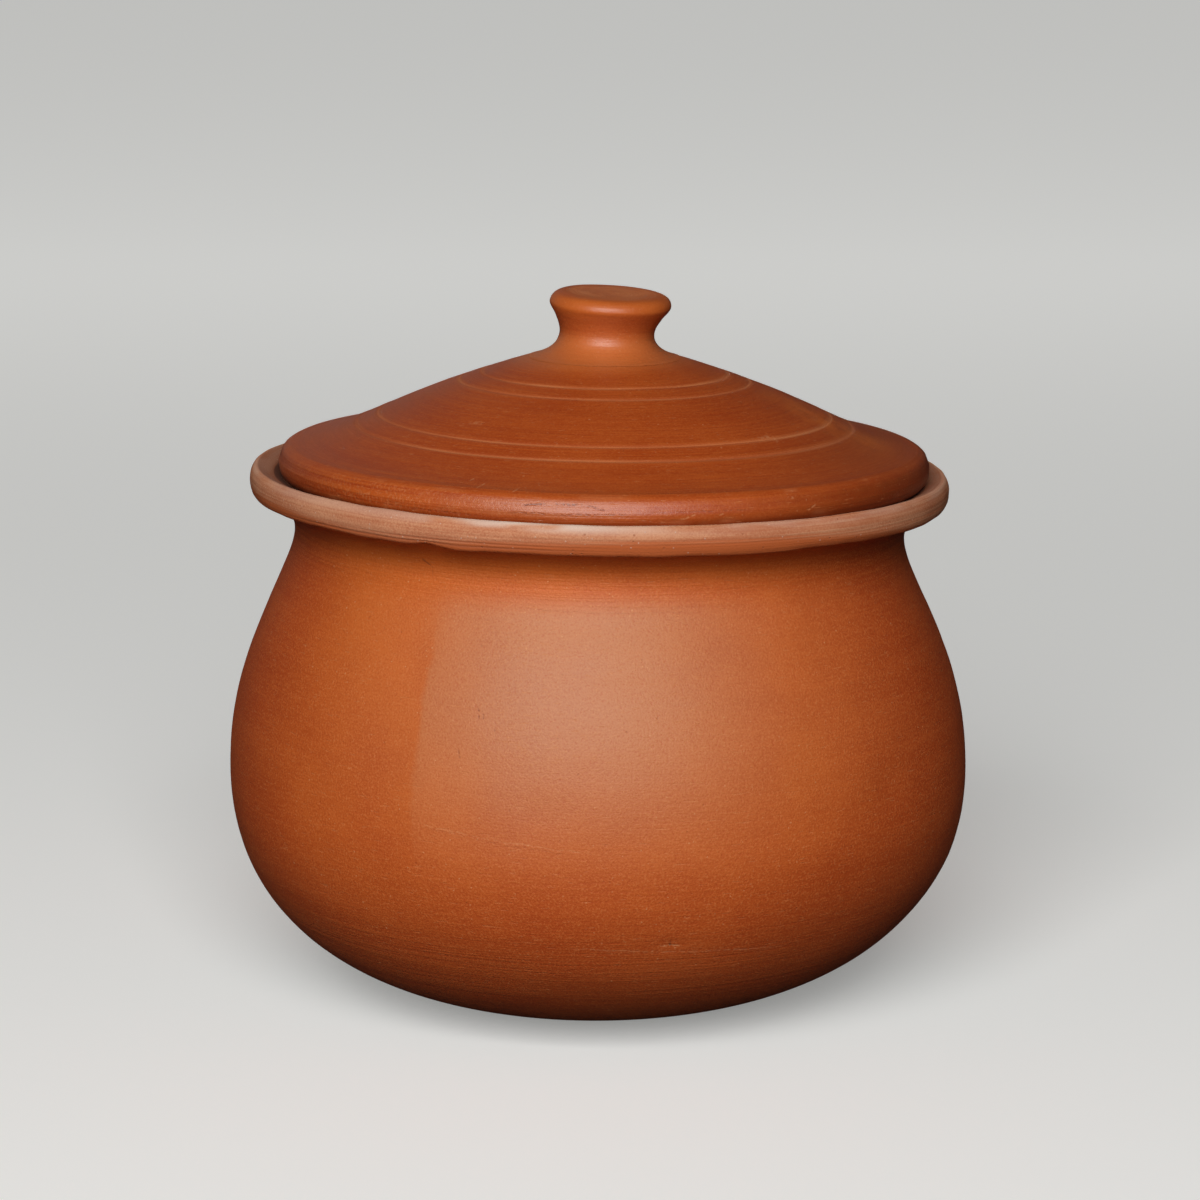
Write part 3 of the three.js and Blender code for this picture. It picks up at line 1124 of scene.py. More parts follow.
@dataclass
class Bowl:
    """The round-bellied bowl with its flanged neck.

    The sizes down to the rim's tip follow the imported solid. After them comes what hands and wheel left on it.

    Attributes:
        base_radius: The edge of the flat base.
        base_fullness: How far the curve from the base goes on level.
        belly_radius: The outside of the belly at its widest.
        belly_height: Where it is widest.
        fullness_below: How far the belly's curve goes on straight down from there.
        fullness_above: How far it goes on straight up.
        shoulder_rise: How far the shoulder lies above the belly.
        shoulder_step: How far it stands out past the neck.
        shoulder_slope: How far the wall leans in there, in degrees.
        shoulder_fullness: How far the wall comes straight up to it.
        neck_radius: The outside of the neck at its narrowest.
        neck_rise: How far that lies above the shoulder.
        wall: The thickness of the wall.
        floor: The thickness of the floor.
        flange_rise: How far the flange's top lies above the neck.
        flange_overhang: How far it stands out past the neck.
        flare_drop: How far under the flange's top its flare turns out.
        mouth_step: How far the flange reaches in from the neck's outside.
        luting_fill: How far the flange fills the gap to the collar.
        neck_drift: How far the neck stands to the right of the base.
        rim_tip: How far the rim dips to the right, in degrees.
        fineness: How finely it is turned.
        seed: Where its noise starts.
        handled: The heights where it was handled.
        lobes: How many bulges go round, how far they stand out, and their phase in radians.
        pats: What hands left outside.
        wheel_rings: What the wheel left outside.
        rings_from: The heights over which that fades in above the base.
        crease_around: Where the crease lies, in degrees around.
        crease_depth: How far the clay falls in at its left.
        crease_edge: How far around it takes to fall in.
        crease_fade: How far around the hollow fades out.
        crease_height: The heights where it lies.
        finger_pitch: The distance between the finger rings inside.
        finger_depth: How deep they are.
        finger_swell: How far that depth varies.
        finger_top: The heights over which they fade out.
        inner_pats: What hands left inside.
        bare_mouth: How far outside the mouth's edge the slip ends.
        dents: Knocks in the belly.
    """

    base_radius: float = 24.0
    base_fullness: float = 21.0
    belly_radius: float = 78.0
    belly_height: float = 46.5
    fullness_below: float = 34.0
    fullness_above: float = 17.4
    shoulder_rise: float = 43.5
    shoulder_step: float = 2.0
    shoulder_slope: float = 24.0
    shoulder_fullness: float = 15.5
    neck_radius: float = 63.8
    neck_rise: float = 7.5
    wall: float = 6.0
    floor: float = 8.0
    flange_rise: float = 6.5
    flange_overhang: float = 6.6
    flare_drop: float = 2.2
    mouth_step: float = 5.5
    luting_fill: float = 0.22
    neck_drift: float = 0.7
    rim_tip: float = 1.15
    fineness: Fineness = Fineness(320, 1.25, 0.35)
    seed: int = 11
    handled: Zone = ((4.0, 24.0), (95.0, 101.0))
    lobes: tuple[tuple[int, float, float], ...] = ((2, 0.26, -0.7), (3, 0.15, 1.9))
    pats: tuple[Uneven, ...] = (Uneven(0.20, 21.0), Uneven(0.07, 9.0))
    wheel_rings: tuple[Uneven, ...] = (Uneven(0.06, 150.0, 8.0), Uneven(0.035, 120.0, 3.0))
    rings_from: Span = (0.5, 6.0)
    crease_around: float = -27.3
    crease_depth: float = 0.55
    crease_edge: float = 6.0
    crease_fade: Span = (18.0, 56.0)
    crease_height: Zone = ((34.0, 56.0), (82.0, 98.0))
    finger_pitch: float = 6.6
    finger_depth: float = 0.22
    finger_swell: tuple[Uneven, ...] = (Uneven(0.5, 60.0, 12.0),)
    finger_top: Span = (92.0, 100.0)
    inner_pats: tuple[Uneven, ...] = (Uneven(0.15, 12.0),)
    bare_mouth: float = 5.0
    dents: tuple[Dent, ...] = (
        Dent(-7.2, 55.0, 6.0, 4.0, 0.16),
        Dent(47.3, 53.8, 7.0, 5.0, 0.20),
        Dent(11.2, 28.0, 2.6, 1.2, 0.18),
        Dent(-62.0, 68.0, 9.0, 6.0, 0.22),
        Dent(96.0, 40.0, 8.0, 7.0, 0.22),
        Dent(150.0, 74.0, 7.0, 5.0, 0.18),
        Dent(-134.0, 36.0, 9.0, 6.0, 0.24),
        Dent(-104.0, 82.0, 5.0, 3.5, 0.15),
    )

    @property
    def neck_height(self) -> float:
        """Where the neck is narrowest."""
        return self.belly_height + self.shoulder_rise + self.neck_rise

    @property
    def flange_height(self) -> float:
        """The top of the flange."""
        return self.neck_height + self.flange_rise

    @property
    def flange_radius(self) -> float:
        """The outer edge of the flange."""
        return self.neck_radius + self.flange_overhang

    @property
    def mouth_radius(self) -> float:
        """The inner edge of the flange."""
        return self.neck_radius - self.mouth_step

    def _wall(self, inset: float, floor: float) -> list[list[Spot]]:
        """One side of the wall from the edge of the floor up to the neck.

        Args:
            inset: How far it lies inside the outer side.
            floor: Its lowest height.

        Returns:
            Its stretches, each as the points of a curve.
        """
        slope = math.radians(self.shoulder_slope)
        belly = self.belly_radius - inset
        shoulder = (self.neck_radius + self.shoulder_step - inset, self.belly_height + self.shoulder_rise)
        down = (
            shoulder[0] + math.sin(slope) * self.shoulder_fullness,
            shoulder[1] - math.cos(slope) * self.shoulder_fullness,
        )
        base = (self.base_radius, floor)
        widest = (belly, self.belly_height)
        neck = (self.neck_radius - inset, self.neck_height)
        turn = (neck[0], shoulder[1] + self.shoulder_step / math.tan(slope))
        spread = (base[0] + self.base_fullness - inset, floor)
        under = [base, spread, (belly, widest[1] - self.fullness_below), widest]
        over = [widest, (belly, widest[1] + self.fullness_above), down, shoulder]
        return [under, over, [shoulder, turn, neck]]

    def _profile(self) -> Profile:
        """Draws the base, the outside up to the flange, its top, and the inside down to the floor.

        Returns:
            The outline.
        """
        outline = Profile((0.0, 0.0)).to((self.base_radius, 0.0))
        for stretch in self._wall(0.0, 0.0):
            outline.to(*stretch[1:])
        top = self.flange_height + self.luting_fill
        turn = self.flange_height - self.flare_drop
        throat = self.neck_radius - self.wall
        outline.to((self.neck_radius, turn), (self.flange_radius, top))
        outline.to((self.mouth_radius, top)).to((throat, turn), (throat, self.neck_height))
        for stretch in reversed(self._wall(self.wall, self.floor)):
            outline.to(*stretch[-2::-1])
        return outline.to((0.0, self.floor))

    def _worked(self, skin: Turning, inside: np.ndarray) -> np.ndarray:
        """What hands and wheel left on the surface.

        Args:
            skin: The turned bowl.
            inside: 1 on the inside.

        Returns:
            The relief along the normals.
        """
        noise = SoftNoise(self.seed)
        around = np.radians(skin.around)
        free = within(skin.height, self.handled)
        lobes = sum(height * np.cos(count * around + phase) for count, height, phase in self.lobes)
        pats = skin.uneven(noise, self.pats)
        rings = skin.uneven(noise, self.wheel_rings)
        left = np.minimum(skin.around - self.crease_around, 0.0)
        fall = (1.0 - np.exp(left / self.crease_edge)) * (1.0 - eased(-left, *self.crease_fade))
        crease = -self.crease_depth * fall * within(skin.height, self.crease_height)
        knocks = sum(dent.relief(skin) for dent in self.dents)
        outside = free * (lobes + pats + crease + knocks)
        outside = outside + eased(skin.height, *self.rings_from) * free**0.2 * rings
        spiral = self.finger_depth * np.sin(2 * math.pi * skin.run / self.finger_pitch + around)
        fingers = skin.uneven(noise, self.inner_pats, spiral * skin.uneven(noise, self.finger_swell, 1.0))
        calm = 1.0 - eased(skin.height, *self.finger_top)
        return outside * (1.0 - inside) + inside * calm * fingers

    def build(self) -> bpy.types.Object:
        """Builds and dresses the bowl.

        Returns:
            The piece, riding on the pot.
        """
        skin = Turning(self._profile(), self.fineness)
        inside = skin.past(self.mouth_radius, self.flange_height, 1.2)
        skin.press(self._worked(skin, inside))
        risen = eased(skin.height, self.floor, self.neck_height)
        skin.settle(self.neck_drift * risen, self.rim_tip * risen)
        bare = skin.past(self.mouth_radius + self.bare_mouth, self.flange_height, 1.0)
        piece = skin.mesh("bowl", {Layer.BARE: bare})
        return carried(piece, BowlSlip("bowl_slip").material(), Body.POT, "pot_body")


@dataclass
class Collar:
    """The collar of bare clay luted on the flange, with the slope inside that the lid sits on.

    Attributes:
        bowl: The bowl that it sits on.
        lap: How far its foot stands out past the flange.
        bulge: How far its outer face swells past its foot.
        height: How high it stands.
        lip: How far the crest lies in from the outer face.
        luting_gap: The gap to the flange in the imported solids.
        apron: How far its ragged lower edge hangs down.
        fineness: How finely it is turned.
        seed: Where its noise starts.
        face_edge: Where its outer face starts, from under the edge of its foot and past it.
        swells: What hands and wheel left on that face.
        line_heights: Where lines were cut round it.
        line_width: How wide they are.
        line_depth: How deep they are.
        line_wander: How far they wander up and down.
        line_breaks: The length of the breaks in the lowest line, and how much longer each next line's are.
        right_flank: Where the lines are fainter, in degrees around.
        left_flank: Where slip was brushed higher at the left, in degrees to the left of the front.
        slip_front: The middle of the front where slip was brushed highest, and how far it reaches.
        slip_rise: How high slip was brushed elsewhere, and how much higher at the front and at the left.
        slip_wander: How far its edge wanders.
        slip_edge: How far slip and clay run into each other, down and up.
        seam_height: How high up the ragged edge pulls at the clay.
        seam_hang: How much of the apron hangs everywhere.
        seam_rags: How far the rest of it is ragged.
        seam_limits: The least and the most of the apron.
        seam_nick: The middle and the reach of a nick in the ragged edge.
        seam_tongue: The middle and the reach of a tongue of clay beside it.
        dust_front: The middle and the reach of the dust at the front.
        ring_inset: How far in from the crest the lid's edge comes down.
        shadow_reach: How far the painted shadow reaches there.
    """

    bowl: Bowl
    lap: float = 0.9
    bulge: float = 1.6
    height: float = 5.95
    lip: float = 1.6
    luting_gap: float = 0.3
    apron: float = 0.35
    fineness: Fineness = Fineness(400, 0.2, 0.22)
    seed: int = 23
    face_edge: Span = (-0.9, 0.2)
    swells: tuple[Uneven, ...] = (Uneven(0.12, 13.0), Uneven(0.07, 4.5), Uneven(0.05, 40.0, 1.1))
    line_heights: tuple[float, ...] = (0.9, 1.6, 2.3, 3.1)
    line_width: float = 0.17
    line_depth: float = 0.11
    line_wander: tuple[Uneven, ...] = (Uneven(0.16, 34.0, 60.0), Uneven(0.08, 9.0, 60.0))
    line_breaks: Span = (26.0, 7.0)
    right_flank: Zone = ((14.0, 44.0), (100.0, 150.0))
    left_flank: Zone = ((28.0, 66.0), (100.0, 150.0))
    slip_front: Span = (14.0, 34.0)
    slip_rise: tuple[float, float, float] = (0.1, 3.6, 2.1)
    slip_wander: tuple[Uneven, ...] = (Uneven(0.5, 20.0, 90.0),)
    slip_edge: Span = (-1.6, 1.2)
    seam_height: float = 1.5
    seam_hang: float = 0.45
    seam_rags: tuple[Uneven, ...] = (Uneven(0.4, 14.0, 50.0), Uneven(0.3, 5.0, 50.0))
    seam_limits: Span = (-0.6, 1.6)
    seam_nick: Span = (-27.4, 1.6)
    seam_tongue: Span = (-21.0, 3.0)
    dust_front: Span = (-9.0, 13.0)
    ring_inset: float = 4.2
    shadow_reach: float = 0.9

    @property
    def foot_radius(self) -> float:
        """The outer edge of its foot."""
        return self.bowl.flange_radius + self.lap

    @property
    def crest_radius(self) -> float:
        """The middle of its crest."""
        return self.foot_radius + self.bulge - self.lip

    @property
    def seat_slope(self) -> float:
        """The angle of the slope inside, in radians."""
        return math.atan2(self.height, self.crest_radius - self.bowl.mouth_radius)

    @property
    def frame(self) -> Matrix:
        """Works out where the collar's foot lies.

        Returns:
            Its place in the shared frame.
        """
        rise = self.bowl.flange_height + self.luting_gap
        turn = Matrix.Rotation(math.radians(self.bowl.rim_tip), 4, "Y")
        return Matrix.Translation((self.bowl.neck_drift, 0.0, rise)) @ turn

    def _profile(self) -> Profile:
        """Draws the rolled outer face up to the crest, the seat down to the mouth, and the way back under.

        Returns:
            The outline, closed.
        """
        outer = self.foot_radius + self.bulge
        middle = self.height / 2.0
        outline = Profile((self.foot_radius, 0.0), closed=True)
        outline.to((outer, 0.0), (outer, middle))
        round_off = 0.5523
        outline.to(
            (outer, middle + round_off * middle),
            (self.crest_radius + round_off * self.lip, self.height),
            (self.crest_radius, self.height),
        )
        return outline.to((self.bowl.mouth_radius, 0.0)).to((self.foot_radius, 0.0))

    def build(self) -> bpy.types.Object:
        """Builds and dresses the collar.

        Returns:
            The piece, riding on the pot.
        """
        skin = Turning(self._profile(), self.fineness)
        noise = SoftNoise(self.seed)
        outer = eased(skin.radius, *(self.foot_radius + edge for edge in self.face_edge))
        seat = skin.past(self.crest_radius, self.height, 0.4)
        wander = skin.uneven(noise, self.line_wander)
        lines = np.zeros(skin.points.shape[:-1])
        shortest, longer = self.line_breaks
        for k, level in enumerate(self.line_heights):
            strength = eased(skin.bands(noise, shortest + longer * k, 90.0), -0.75, 0.2)
            lines = np.maximum(lines, strength * hump(skin.height + wander, level, self.line_width))
        right = within(skin.around, self.right_flank)
        left = within(-skin.around, self.left_flank)
        lines = lines * outer * (1.0 - 0.6 * right)
        elsewhere, at_front, at_left = self.slip_rise
        brushed = elsewhere + at_front * hump(skin.around, *self.slip_front) + at_left * left
        brushed = skin.uneven(noise, self.slip_wander, brushed)
        bare = eased(skin.height - brushed, *self.slip_edge) * (1.0 - 0.3 * right - 0.15 * left)
        skin.press(outer * (skin.uneven(noise, self.swells) - self.line_depth * lines))
        low = outer * (1.0 - eased(skin.height, 0.0, self.seam_height))
        ragged = skin.uneven(noise, self.seam_rags, self.seam_hang)
        nick, tongue = (hump(skin.around, *place) for place in (self.seam_nick, self.seam_tongue))
        ragged = ragged - 1.3 * nick + 1.1 * tongue
        skin.points[..., 2] -= self.apron * low * np.clip(ragged, *self.seam_limits)
        crest = eased(skin.height, self.height * 0.62, self.height * 0.95)
        skin.points[..., 2] += crest * (1.0 - seat) * 0.08 * skin.lumps(noise, 17.0)
        skin.place(self.frame)
        # Painted shade deeper in the seat, and a painted shadow in a ring where the lid's edge comes down.
        ring = hump(skin.radius, self.crest_radius - self.ring_inset, self.shadow_reach)
        inner = 1.0 - eased(skin.radius, self.crest_radius - 4.6, self.crest_radius - 2.2)
        layers = {
            Layer.BARE: bare,
            Layer.CUT: lines,
            Layer.WORN: crest * (0.25 + 0.75 * hump(skin.around, *self.dust_front)),
            Layer.SHADE_AND_STAIN: seat * np.clip(0.6 + 0.25 * inner + 0.4 * ring, 0.0, 1.0),
        }
        piece = skin.mesh("clay_collar", layers)
        return carried(piece, BareClay("bare_clay").material(), Body.POT, "rim_collar")


@dataclass
class Lid:
    """The hollow domed lid with its thick bevelled edge and ring grooves, and the knob luted on its crown.

    The sizes down to the knob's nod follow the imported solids, with finer rings and a softer knob. After them
    comes what hands and wheel left on it.

    Attributes:
        collar: The collar that it sits in.
        inset: How far its edge lies in from the collar's crest.
        gap: The gap to the collar, and to the knob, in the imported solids.
        wall: The thickness of the dome.
        edge_height: How far the edge stands up from its bevel.
        edge_width: How far in the edge is thick.
        edge_round_below: How far it is rounded below.
        edge_round_above: How far it is rounded above.
        edge_face_rise: How far its face goes up from its middle.
        edge_face_lean: How far the face leans in over that.
        bevel_width: The width of the bevel that rests on the collar.
        brim_width: How far in the brim reaches.
        brim_rise: How far it rises.
        brim_flat: How far in it goes on nearly level.
        brim_flat_rise: How far it rises over that.
        dome_rise: How far the dome rises from the brim to the crown.
        dome_bow: How far it swells above a straight line.
        ring_spacing: The distance between the two rings of a pair.
        rings_from_knob: How far out from the crown the inner pair lies.
        ring_width: How wide a ring is.
        ring_depth: How deep it is.
        shift: How far the lid sits to the right on its seat.
        dome_drift: How far the dome stands to the right of its edge.
        foot_radius: The edge of the knob's foot.
        foot_hem: How far the foot is smeared out over the dome.
        foot_spread: How far up the foot spreads.
        waist_radius: The knob's waist.
        waist_height: How far it lies above the crown.
        head_radius: The edge of the knob's head.
        head_rise: How far that lies above the waist.
        lip_inset: How far in the head's lower lip lies.
        lip_drop: How far it lies under the edge.
        lip_fullness: How far the waist goes on straight up to it.
        head_round: How far the head is rounded above.
        top_rise: How far its top lies above the edge.
        top_dish: How far the middle of the top is pressed in.
        knob_lean: How far the knob leans to the right, in degrees.
        knob_tip: How far its head dips to the right, in degrees.
        knob_nod: How far its head nods to the front, in degrees.
        dome_fineness: How finely the dome is turned.
        dome_seed: Where its noise starts.
        swells: What hands and wheel left on its top.
        finger_pitch: The distance between the finger rings underneath.
        finger_depth: How deep they are.
        under_pats: What hands left underneath.
        edge_grain: How rough the edge is.
        ring_wander: How far the rings wander from a circle.
        ring_line: How far the line in a ring shows to either side.
        worn_face: The heights of the edge where its slip is worn.
        worn_front: The middle and the reach of the place where it is worn most.
        knob_fineness: How finely the knob is turned.
        knob_seed: Where its noise starts.
        knob_swells: What hands and wheel left on it.
        nicks: Nicks in the edge.
        chips: How many small chips are strewn round it.
        chip_seed: Where their lots start.
        smallest_chip: The least that a lot gives.
        largest_chip: The most that it gives.
    """

    collar: Collar
    inset: float = 3.55
    gap: float = 0.3
    wall: float = 6.0
    edge_height: float = 6.7
    edge_width: float = 8.8
    edge_round_below: float = 1.2
    edge_round_above: float = 2.8
    edge_face_rise: float = 1.8
    edge_face_lean: float = 0.7
    bevel_width: float = 2.4
    brim_width: float = 18.45
    brim_rise: float = 5.2
    brim_flat: float = 5.2
    brim_flat_rise: float = 0.5
    dome_rise: float = 13.2
    dome_bow: float = 0.7
    ring_spacing: float = 4.6
    rings_from_knob: float = 13.2
    ring_width: float = 1.1
    ring_depth: float = 0.16
    shift: float = 0.9
    dome_drift: float = -0.2
    foot_radius: float = 14.4
    foot_hem: float = 1.3
    foot_spread: float = 0.9
    waist_radius: float = 9.85
    waist_height: float = 4.4
    head_radius: float = 12.6
    head_rise: float = 6.0
    lip_inset: float = 0.4
    lip_drop: float = 0.9
    lip_fullness: float = 1.8
    head_round: float = 3.4
    top_rise: float = 2.3
    top_dish: float = 0.3
    knob_lean: float = 6.0
    knob_tip: float = 2.4
    knob_nod: float = 3.0
    dome_fineness: Fineness = Fineness(288, 0.85, 0.16)
    dome_seed: int = 37
    swells: tuple[Uneven, ...] = (Uneven(0.11, 19.0), Uneven(0.045, 90.0, 2.4))
    finger_pitch: float = 3.3
    finger_depth: float = 0.10
    under_pats: tuple[Uneven, ...] = (Uneven(0.1, 11.0),)
    edge_grain: tuple[Uneven, ...] = (Uneven(0.07, 2.6),)
    ring_wander: tuple[Uneven, ...] = (Uneven(0.22, 40.0, 400.0),)
    ring_line: float = 0.48
    worn_face: Zone = ((0.8, 2.2), (5.4, 6.6))
    worn_front: Span = (-42.0, 20.0)
    knob_fineness: Fineness = Fineness(160, 0.4, 0.08)
    knob_seed: int = 41
    knob_swells: tuple[Uneven, ...] = (Uneven(0.10, 8.0), Uneven(0.035, 70.0, 1.3))
    nicks: tuple[Dent, ...] = (
        Dent(12.0, 1.6, 1.5, 0.5, 0.22),
        Dent(16.5, 1.3, 1.0, 0.5, 0.18),
        Dent(20.5, 1.7, 1.6, 0.5, 0.22),
        Dent(37.5, 1.8, 1.0, 0.8, 0.16),
        Dent(-38.0, 2.2, 1.4, 0.6, 0.14),
        Dent(-52.0, 1.0, 2.0, 0.8, 0.22),
        Dent(76.0, 1.0, 2.0, 0.8, 0.24),
        Dent(141.0, 5.8, 2.4, 0.8, 0.20),
        Dent(-118.0, 0.8, 2.0, 0.7, 0.24),
    )
    chips: int = 26
    chip_seed: int = 53
    smallest_chip: Dent = Dent(-180.0, 0.8, 0.5, 0.35, 0.06)
    largest_chip: Dent = Dent(180.0, 2.0, 1.4, 0.65, 0.20)

    @property
    def radius(self) -> float:
        """The lid's outer edge."""
        return self.collar.crest_radius - self.inset

    @property
    def crease(self) -> Spot:
        """Where the brim turns up into the dome."""
        return self.radius - self.brim_width, self.edge_height + self.brim_rise

    @property
    def crown(self) -> Spot:
        """The edge of the flat that the knob stands on."""
        return self.foot_radius + self.gap, self.crease[1] + self.dome_rise

    @property
    def frame(self) -> Matrix:
        """Works out where the lid lies on its seat.

        Returns:
            Its place in the shared frame.
        """
        slope = math.tan(self.collar.seat_slope)
        bevel = self.radius - self.edge_round_below
        lift = (bevel - self.collar.bowl.mouth_radius) * slope + self.gap / math.cos(self.collar.seat_slope)
        turn = Matrix.Rotation(-math.atan2(self.shift * slope, bevel), 4, "Y")
        return self.collar.frame @ Matrix.Translation((self.shift, 0.0, lift)) @ turn

    @property
    def ring_radii(self) -> list[float]:
        """The two pairs of rings: one astride the crease, one out from the knob."""
        middles = (self.crease[0], self.crown[0] + self.rings_from_knob)
        return [middle + side * self.ring_spacing / 2.0 for middle in middles for side in (1.0, -1.0)]

    @staticmethod
    def _bowed(start: Spot, end: Spot, height: float) -> tuple[Spot, Spot]:
        """Works out a gentle curve that swells to the left of its way.

        Args:
            start: Where it starts.
            end: Where it ends.
            height: How far it swells off the straight line.

        Returns:
            Its handle and its end.
        """
        way = Vector(end) - Vector(start)
        aside = Vector((-way.y, way.x)).normalized()
        return tuple((Vector(start) + Vector(end)) / 2.0 + aside * 2.0 * height), end

    def _profile(self) -> Profile:
        """Draws the dome: out along the underside, round the edge and in over the top.

        Returns:
            The outline.
        """
        slope = math.tan(self.collar.seat_slope)
        bevel = (self.radius - self.edge_round_below, 0.0)
        toe = (bevel[0] - self.bevel_width, -self.bevel_width * slope)
        steepness = self.brim_rise / (self.brim_width - self.edge_round_above)
        heel_rise = (self.edge_width - self.edge_round_above) * steepness
        heel = (self.radius - self.edge_width, self.edge_height + heel_rise - self.wall)
        rimmost = (self.radius, self.edge_height / 2.0)
        shoulder = (self.radius - self.edge_round_above, self.edge_height)
        under_crown = (self.crown[0], self.crown[1] - self.wall)
        under_crease = (self.crease[0], self.crease[1] - self.wall)
        outline = Profile((0.0, under_crown[1])).to(under_crown)
        outline.to(*self._bowed(under_crown, under_crease, self.dome_bow)).to(heel)
        outline.to((heel[0], toe[1]), toe).to(bevel)
        outline.to((self.radius, self.edge_round_below * slope), rimmost)
        face_top = (self.radius - self.edge_face_lean, rimmost[1] + self.edge_face_rise)
        lean = self.edge_face_lean / self.edge_face_rise
        drop = shoulder[1] - face_top[1] - (face_top[0] - shoulder[0]) * steepness
        rise = drop / (1.0 - lean * steepness)
        outline.to(face_top).to((face_top[0] - lean * rise, face_top[1] + rise), shoulder)
        outline.to((shoulder[0] - self.brim_flat, shoulder[1] + self.brim_flat_rise), self.crease)
        outline.to(*self._bowed(self.crease, self.crown, -self.dome_bow))
        for radius in self.ring_radii:
            outline.score(radius, self.ring_width, self.ring_depth, 2)
        return outline.to((0.0, self.crown[1]))

    def _chipped(self) -> list[Dent]:
        """Strews small chips round the lower edge by lot.

        Returns:
            The chips.
        """
        low, high = (np.array(astuple(chip)) for chip in (self.smallest_chip, self.largest_chip))
        lots = np.random.default_rng(self.chip_seed).uniform(size=(self.chips, len(low)))
        return [Dent(*lot) for lot in low + (high - low) * lots]

    def dome(self, finish: bpy.types.Material) -> bpy.types.Object:
        """Builds and dresses the dome.

        Args:
            finish: The lid's slip.

        Returns:
            The piece, riding on the lid.
        """
        skin = Turning(self._profile(), self.dome_fineness)
        noise = SoftNoise(self.dome_seed)
        top = skin.past(self.radius, self.edge_height / 2.0, 1.5)
        edge = eased(skin.radius, self.radius - 3.0, self.radius - 0.8)
        clear = eased(skin.height, 1.2, 4.5)
        free = eased(skin.radius, self.crown[0], self.crown[0] + 5.0)
        soft = skin.uneven(noise, self.swells)
        spiral = np.sin(2 * math.pi * skin.run / self.finger_pitch + np.radians(skin.around))
        wheel = skin.uneven(noise, self.under_pats, self.finger_depth * spiral)
        nicks = sum(nick.relief(skin) for nick in [*self.nicks, *self._chipped()])
        under = (1.0 - top) * (1.0 - eased(skin.radius, self.radius - 12.0, self.radius - 8.0))
        rough = skin.uneven(noise, self.edge_grain) * edge * clear
        skin.press(top * free * clear * soft + under * wheel + edge * nicks + rough)
        wander = skin.uneven(noise, self.ring_wander) * top * (1.0 - edge) * free
        skin.points[..., :2] *= (1.0 + wander / np.maximum(skin.radius, 1.0))[..., None]
        drift = self.dome_drift * eased(skin.height, self.edge_height, self.crease[1])
        skin.settle(drift, np.zeros_like(skin.height))
        skin.place(self.frame)
        cut = top * sum(hump(skin.radius, radius, self.ring_line) for radius in self.ring_radii)
        shoulder = edge * hump(skin.height, self.edge_height - 0.15, 0.45)
        flecks = shoulder * eased(skin.bands(noise, 2.5, 400.0), 0.35, 0.6)
        worn = edge * within(skin.height, self.worn_face)
        # Painted shade on the lid's edge: on its flanks, most on the right, and under its lower rounding.
        aside = 0.6 * eased(skin.around, 8.0, 56.0) + 0.3 * eased(-skin.around, 40.0, 72.0)
        aside = aside * (1.0 - eased(np.abs(skin.around), 110.0, 150.0))
        below = 0.8 * (1.0 - eased(skin.height, 0.6, 2.8))
        edge_shade = edge * (below + aside * (1.0 - eased(skin.height, 4.6, 6.6)))
        layers = {
            Layer.BARE: 1.0 - skin.past(self.radius - self.edge_round_below, 0.0, 1.6),
            Layer.CUT: np.clip(cut + edge * np.clip(-nicks * 2.0, 0.0, 1.0) + flecks, 0.0, 1.0),
            Layer.WORN: worn * (0.3 + 0.7 * hump(skin.around, *self.worn_front)),
            Layer.SHADE_AND_STAIN: np.clip(edge_shade, 0.0, 1.0),
        }
        return carried(skin.mesh("lid_shell", layers), finish, Body.LID, "lid_dome")

    def knob(self, finish: bpy.types.Material) -> bpy.types.Object:
        """Builds and dresses the knob.

        Args:
            finish: The lid's slip.

        Returns:
            The piece, riding on the lid.
        """
        head = (self.head_radius, self.waist_height + self.head_rise)
        brow = (self.head_radius - self.head_round, head[1] + self.top_rise)
        lip = (head[0] - self.lip_inset, head[1] - self.lip_drop)
        handle = self._bowed(self.crease, self.crown, -self.dome_bow)[0]
        fall = (self.crown[1] - handle[1]) / (handle[0] - self.crown[0])
        sunk = -self.gap + 0.06
        hem = (self.crown[0] + self.foot_hem, sunk - self.foot_hem * fall)
        outline = Profile((0.0, sunk)).to((self.crown[0], sunk)).to(hem).to((hem[0], hem[1] + 0.02))
        outline.to((self.waist_radius, self.foot_spread), (self.waist_radius, self.waist_height))
        outline.to((self.waist_radius, self.waist_height + self.lip_fullness), lip)
        outline.to((head[0], head[1] - self.lip_drop / 3.0), head)
        outline.to((head[0], brow[1]), brow).to((0.0, brow[1] - self.top_dish))
        skin = Turning(outline, self.knob_fineness)
        noise = SoftNoise(self.knob_seed)
        free = eased(skin.height, 0.6, 3.0)
        skin.press(free * skin.uneven(noise, self.knob_swells))
        lean, nod = (math.tan(math.radians(angle)) for angle in (self.knob_lean, self.knob_nod))
        skin.settle(lean * np.maximum(skin.height, 0.0), self.knob_tip * eased(skin.height, 0.3, head[1]))
        nodding = eased(skin.height, self.waist_height, brow[1])
        skin.points[..., 2] += nod * skin.points[..., 1] * nodding
        skin.place(self.frame @ Matrix.Translation((self.dome_drift, 0.0, self.crown[1] + self.gap)))
        foot = hump(skin.radius, hem[0], 0.7) * (1.0 - eased(skin.height, 0.0, 1.0))
        worn = skin.past(*brow, 1.4) * 0.9 + 0.5 * foot
        piece = skin.mesh("lid_grip", {Layer.CUT: worn})
        return carried(piece, finish, Body.LID, "lid_knob")


